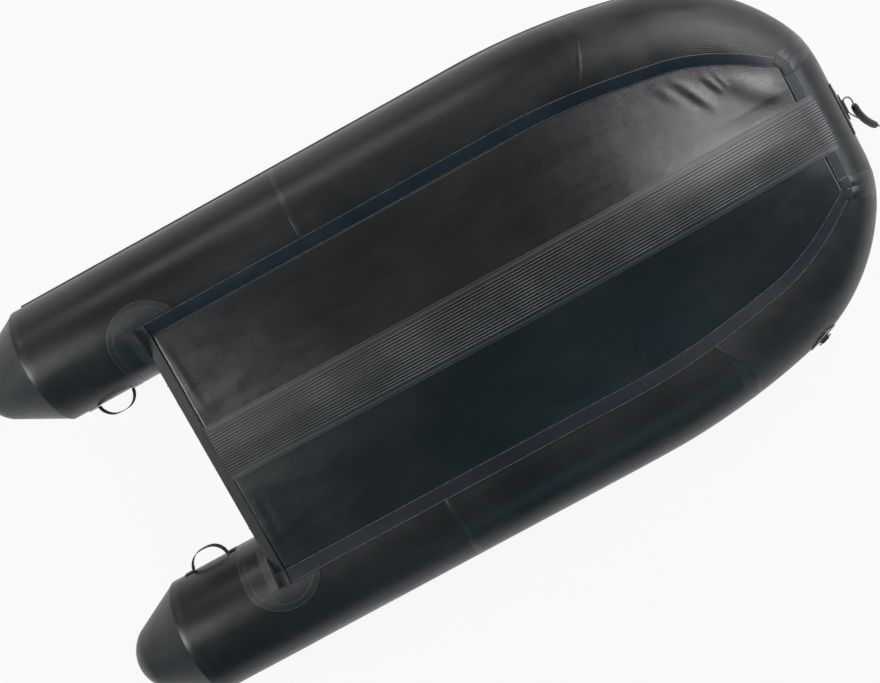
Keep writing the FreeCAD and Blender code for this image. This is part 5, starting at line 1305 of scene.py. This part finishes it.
# Tabs over the corners of the chine strips, and the bow ring's doubler

patches = {"tab": 0.019, "round": 0.003, "rim": 0.0014, "rise": 0.0012, "tabRings": 7, "frontIn": 0.3,
           "sideIn": 0.6, "lift": 0.8, "doubler": (0.073, 0.034, 0.008), "doublerRings": 12, "sunk": 0.0012,
           "bevel": ((0.985, 0.75), (0.965, 1)), "centre": 0.002}


def tubePatch(heap, side, frameAt, run, turn, halfRun, halfArc, corner, base, rings):
    outline = []
    for cx, cy, start in ((1, 1, 0), (-1, 1, 90), (-1, -1, 180), (1, -1, 270)):
        outline += [(cx * (halfRun - corner) + corner * cosine(start + 90 * share),
                     cy * (halfArc - corner) + corner * sine(start + 90 * share)) for share in shares(6)]
    rise, edge = patches["rise"], patches["bevel"][-1][0]
    levels = [(1, -patches["sunk"]), (1, 0)] + [(size, rise * part) for size, part in patches["bevel"]]
    levels += [(edge * (1 - step), rise) for step in shares(rings)[1:-1]] + [(patches["centre"], rise)]
    rows = []
    for scale, height in levels:
        spots = [(run + x * scale, turn + math.degrees(y * scale / base)) for x, y in outline]
        rows.append([across(onTube(frameAt, *spot, base + height), side) for spot in spots])
    heap.tube(rows, side < 0)


def cornerPatches():
    frontTurn = -chine["lean"] - chine["gapTurn"] - chine["frontWide"] / 2
    frontRun = mitrePoint.y - patches["tab"] * patches["frontIn"]
    sideTurn = bowInner(mitreRun) - stripTurnAt(mitreRun) / 2
    sideRun = mitreRun - patches["tab"] * patches["sideIn"]
    base = tubeRadius + chine["top"]
    for side, name in sides:
        for word, finish, half, low in (
                # the rims round the tabs are in the light bead fabric: a painted highlight round each tab's
                # edge
                ("CornerTabRims", "highlightBeadFabric", patches["tab"] + patches["rim"], base),
                ("CornerTabs", "stripFabric", patches["tab"], base + patches["rise"] * patches["lift"])):
            heap = Heap()
            for frameAt, run, turn in ((lambda shift: frontAt(-shift), frontRun, frontTurn),
                                       (quarterAt, sideRun, sideTurn)):
                tubePatch(heap, side, frameAt, run, turn, half, half, patches["round"], low,
                          patches["tabRings"])
            heap.piece(name + word, finish)
    heap = Heap()
    tubePatch(heap, 1, frontAt, 0, -handle["ringTurn"], *patches["doubler"],
              tubeRadius + rings["patch"] + rings["glue"], patches["doublerRings"])
    heap.piece("bowDoubler", "patchFabric")


cornerPatches()

# Raised edges of the holders' doublers, and a bead along the aft edge of each holder, all in a light fabric:
# painted highlights of the doublers' edges and the holders' flanges

doubler = {"place": 0.0205, "half": 0.140, "reach": 0.108, "inset": 0.022, "wide": 0.0020, "high": 0.0009,
           "patch": 0.0028, "foot": 0.004, "inner": 96, "stripTurn": 12.5, "hullAft": 0.034, "sunk": 0.0004,
           "flangeHighlightFrom": 2, "flangeHighlightTurn": 74}


def doublerPath(half):                          # plan circle over the crown, then down the tube's inner side
    top = math.degrees(math.asin(doubler["reach"] / tubeRadius))
    path = [(doubler["place"] - half, doubler["inner"] + (top - doubler["inner"]) * share)
            for share in shares(24)[:-1]]
    for share in shares(60):
        away = doubler["reach"] - half * sine(180 * share)
        path.append((doubler["place"] - half * cosine(180 * share),
                     math.degrees(math.asin(away / tubeRadius))))
    return [(run, turn) for run, turn in path if run < doubler["hullAft"] or turn < doubler["stripTurn"]]


def doublerRims():
    wide, high, sunk = doubler["wide"] / 2, doubler["high"], doubler["sunk"]
    section = ((-wide, -sunk), (-wide * 0.6, high * 0.8), (0, high), (wide * 0.6, high * 0.8), (wide, -sunk))
    for side, name in sides:
        heap = Heap()
        low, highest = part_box(name + "_transom_holder")
        behind = hullFrame.inverted() @ Vector((low[0], side * tubeSide, highest[2]))
        aft = min(behind.x, 0) - doubler["foot"]
        # the third path runs just aft of the holder: a painted highlight of its flange
        for path in (doublerPath(doubler["half"]), doublerPath(doubler["half"] - doubler["inset"]),
                     [(aft, doubler["flangeHighlightFrom"] + doubler["flangeHighlightTurn"] * share) for share in shares(40)]):
            centres = [onTube(sideAt, run, turn, tubeRadius + doubler["patch"]) for run, turn in path]
            rows = []
            for index, centre in enumerate(centres):
                axis = sideAt(0).inverted() @ centre
                out = (sideAt(0).to_3x3() @ Vector((0, axis.y, axis.z))).normalized()
                flat = wayAt(centres, index).cross(out).normalized()
                rows.append([across(centre + flat * x + out * z, side) for x, z in section])
            heap.tube(rows, side > 0)
        heap.piece(name + "DoublerRims", "highlightBeadFabric")


doublerRims()

# Screws, pad ribs and valve grips

fittings = {"screw": (0.0055, 0.0022), "eyeScrew": (0.0042, 0.0018), "padHalf": 0.165, "outerDeep": 0.210,
            "innerDeep": 0.095, "boardMotor": 0.172, "outerThick": 0.0053, "innerFace": 0.0463,
            "eyeSide": 0.285, "eyeHigh": 0.110, "eyeReach": 0.02952, "eyeFace": 0.0043, "padRibs": 13,
            "ribSection": ((-0.0005, -0.0022), (0.0011, -0.0012), (0.0011, 0.0012), (-0.0005, 0.0022))}
valve = {"turn": 62, "place": 0.215, "cap": 0.025, "capHigh": 0.011, "gripRibs": 20, "gripFrom": 0.0046,
         "gripTo": 0.010,
         "ribSection": ((-0.001, -0.0016), (0.0013, -0.0010), (0.0013, 0.0010), (-0.001, 0.0016)),
         "lipSides": 40, "lip": ((0.019, 0.0), (0.0185, 0.0012), (0.0165, 0.0012), (0.016, 0.0))}


def dome(heap, place, out, radius, high):       # a screw's head with a cross in it
    right = out.orthogonal().normalized()
    up = out.cross(right)
    heap.tube([ringRound(place + out * (high * share), right, up, radius * math.sqrt(1 - share * share), 18)
               for share in (0, 0.35, 0.65, 0.88, 0.99)])
    slotWide, slotLong = radius * 0.16, radius * 0.7
    for first, second in ((right, up), (up, right)):
        corners = [place + out * (high * 1.02) + first * (x * slotLong) + second * (y * slotWide)
                   for x, y in ((-1, -1), (1, -1), (1, 1), (-1, 1))]
        heap.tube([corners, [corner + out * 0.0003 for corner in corners]])


def padScrews():
    heap, ribs = Heap(), Heap()
    for face, way, deep in ((-fittings["outerThick"], -1, fittings["outerDeep"]),
                            (fittings["innerFace"], 1, fittings["innerDeep"])):
        for y in (-0.86, -0.3, 0.3, 0.86):
            for share in (0.12, 0.88):
                place = Vector((face, y * fittings["padHalf"], share * deep - fittings["boardMotor"]))
                dome(heap, hullFrame @ place, hullTurn @ Vector((way, 0, 0)), *fittings["screw"])
    for side in (-1, 1):
        for way in (-1, 1):
            place = Vector((-fittings["eyeFace"], side * fittings["eyeSide"],
                            fittings["eyeHigh"] + way * fittings["eyeReach"]))
            dome(heap, hullFrame @ place, hullTurn @ Vector((-1, 0, 0)), *fittings["eyeScrew"])
    heap.piece("transomScrews", "wireSteel")
    for share in shares(fittings["padRibs"] - 1):
        z = (0.20 + 0.60 * share) * fittings["outerDeep"] - fittings["boardMotor"]
        ribs.tube([[hullFrame @ Vector((-fittings["outerThick"] - x, y * fittings["padHalf"], z + shift))
                    for x, shift in fittings["ribSection"]] for y in (-0.78, 0.78)])
    ribs.piece("outerPadRibs", "mouldedPlastic", smoothed=False)


def valveGrips():
    heap = Heap()
    lean = 180 - valve["turn"]
    sideFrame = turnedFrame(hullFrame, (valve["place"], tubeSide, 0), lean, "X")
    bowValve = turnedFrame(frontAt(0), (0, 0, 0), lean, "X")
    for station, side in ((sideFrame, 1), (sideFrame, -1), (bowValve, 1)):
        for step in range(valve["gripRibs"]):
            turned = turnedFrame(station, (0, 0, tubeRadius), 360 * step / valve["gripRibs"], "Z")
            heap.tube([[across(turned @ Vector((valve["cap"] + reach, shift, height)), side)
                        for reach, shift in valve["ribSection"]]
                       for height in (valve["gripFrom"], valve["gripTo"])], side < 0)
        rows = []
        for radius, height in valve["lip"]:
            centre = Vector((0, 0, tubeRadius + valve["capHigh"] + height))
            ring = ringRound(centre, Vector((1, 0, 0)), Vector((0, 1, 0)), radius, valve["lipSides"])
            rows.append([across(station @ point, side) for point in ring])
        heap.grid(rows, side < 0, True)
    heap.piece("valveGrips", "mouldedPlastic", smoothed=False)


padScrews()
valveGrips()
print("fittings added")

spare = {"width": 1.06, "length": 1.02}         # the flat sheet is wider and longer than what shows
flatLength = (bottomRun - cloth["aft"]) * spare["length"]
flatWidth = sheetWidth * spare["width"]
min(sheetArea, flatWidth * flatLength)
